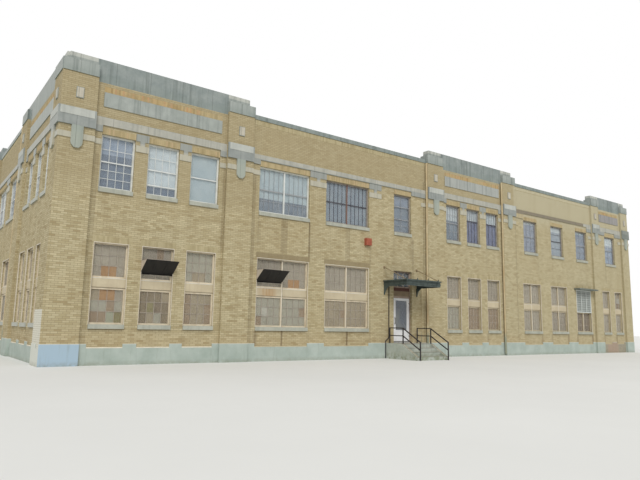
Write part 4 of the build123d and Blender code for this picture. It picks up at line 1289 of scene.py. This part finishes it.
lapSettings = {"sheet": 0.95, "width": 0.08, "height": 0.006}
s = lapSettings
deckLow, deckHigh = frontBox("roof_deck")
shape = Shape()
sheets = round((deckHigh.x - deckLow.x) / s["sheet"])
for i in range(1, sheets):
    x = between(deckLow.x, deckHigh.x, i / sheets)
    shape.box(x, x + s["width"], deckLow.y, deckHigh.y, deckHigh.z, deckHigh.z + s["height"])
makePiece("roof_felt_laps", shape, [roofFelt])
print("roof made")

# Floor, light and camera

stageSettings = {
    "floorHalf": 160.0,
    "floor": [(226, 226, 222), (222, 222, 218)],
    "sky": 0.62,
    "suns": {"key": (1.7, (-0.45, -0.75, 0.75), 25), "fill": (0.5, (0.6, 0.7, 0.5), 40)},  # strength, toward, softness
}
scene = bpy.context.scene
floorFinish = Finish("studio floor", roughness=0.95, specular=0.1)
floorFinish.colour = floorFinish.mix(floorFinish.spots(0.3, 0.7, scale=0.2), *stageSettings["floor"])
half = stageSettings["floorHalf"]
floorMesh = bpy.data.meshes.new("studio floor")
floorMesh.from_pydata([(-half, -half, 0), (half, -half, 0), (half, half, 0), (-half, half, 0)], [], [(0, 1, 2, 3)])
floorMesh.materials.append(floorFinish.done())
floor = bpy.data.objects.new("studio_floor", floorMesh)
scene.collection.objects.link(floor)

# The sky lights the building softly, and shows white behind it, also in metal and glass
world = bpy.data.worlds.new("studio light")
scene.world = world
world.use_nodes = True
air = Nodes(world.node_tree)
background = world.node_tree.nodes["Background"].inputs
background["Color"].default_value = (1, 1, 1, 1)
path = air.add("LightPath").outputs
seen = air.fold("MAXIMUM", [path[ray] for ray in ("Is Camera Ray", "Is Glossy Ray", "Is Transmission Ray")])
air.feed(background["Strength"], air.rise(seen, 0.0, 1.0, stageSettings["sky"], 1.0))

for name, (strength, toward, softness) in stageSettings["suns"].items():
    data = bpy.data.lights.new(name, "SUN")
    data.energy = strength
    data.angle = math.radians(softness)
    lamp = bpy.data.objects.new(name, data)
    lamp.rotation_euler = Vector(toward).to_track_quat("Z", "Y").to_euler()
    scene.collection.objects.link(lamp)

cameraSettings = {
    "place": (-3.7568, -19.4871, 1.4146),  # from the plan's corner
    "focalPixels": 575.88,
    "imageWidth": 640,
    "turn": 36.378,
    "tilt": 8.4466,
    "roll": 1.0779,
}
s = cameraSettings
turn, tilt, roll = (math.radians(s[key]) for key in ("turn", "tilt", "roll"))
forward = Vector((math.sin(turn) * math.cos(tilt), math.cos(turn) * math.cos(tilt), math.sin(tilt)))
sideways = Vector((math.cos(turn), -math.sin(turn), 0))
upward = sideways.cross(forward)
cameraX = sideways * math.cos(roll) + upward * math.sin(roll)
cameraY = upward * math.cos(roll) - sideways * math.sin(roll)
cameraData = bpy.data.cameras.new("camera")
cameraData.sensor_width = 36
cameraData.lens = s["focalPixels"] * cameraData.sensor_width / s["imageWidth"]
cameraData.clip_end = 500
camera = bpy.data.objects.new("camera", cameraData)
camera.rotation_euler = Matrix((cameraX, cameraY, -forward)).transposed().to_euler()
camera.location = planCorner + Vector(s["place"])
scene.collection.objects.link(camera)
scene.camera = camera
scene.view_settings.view_transform = "Standard"
print("stage and camera set")
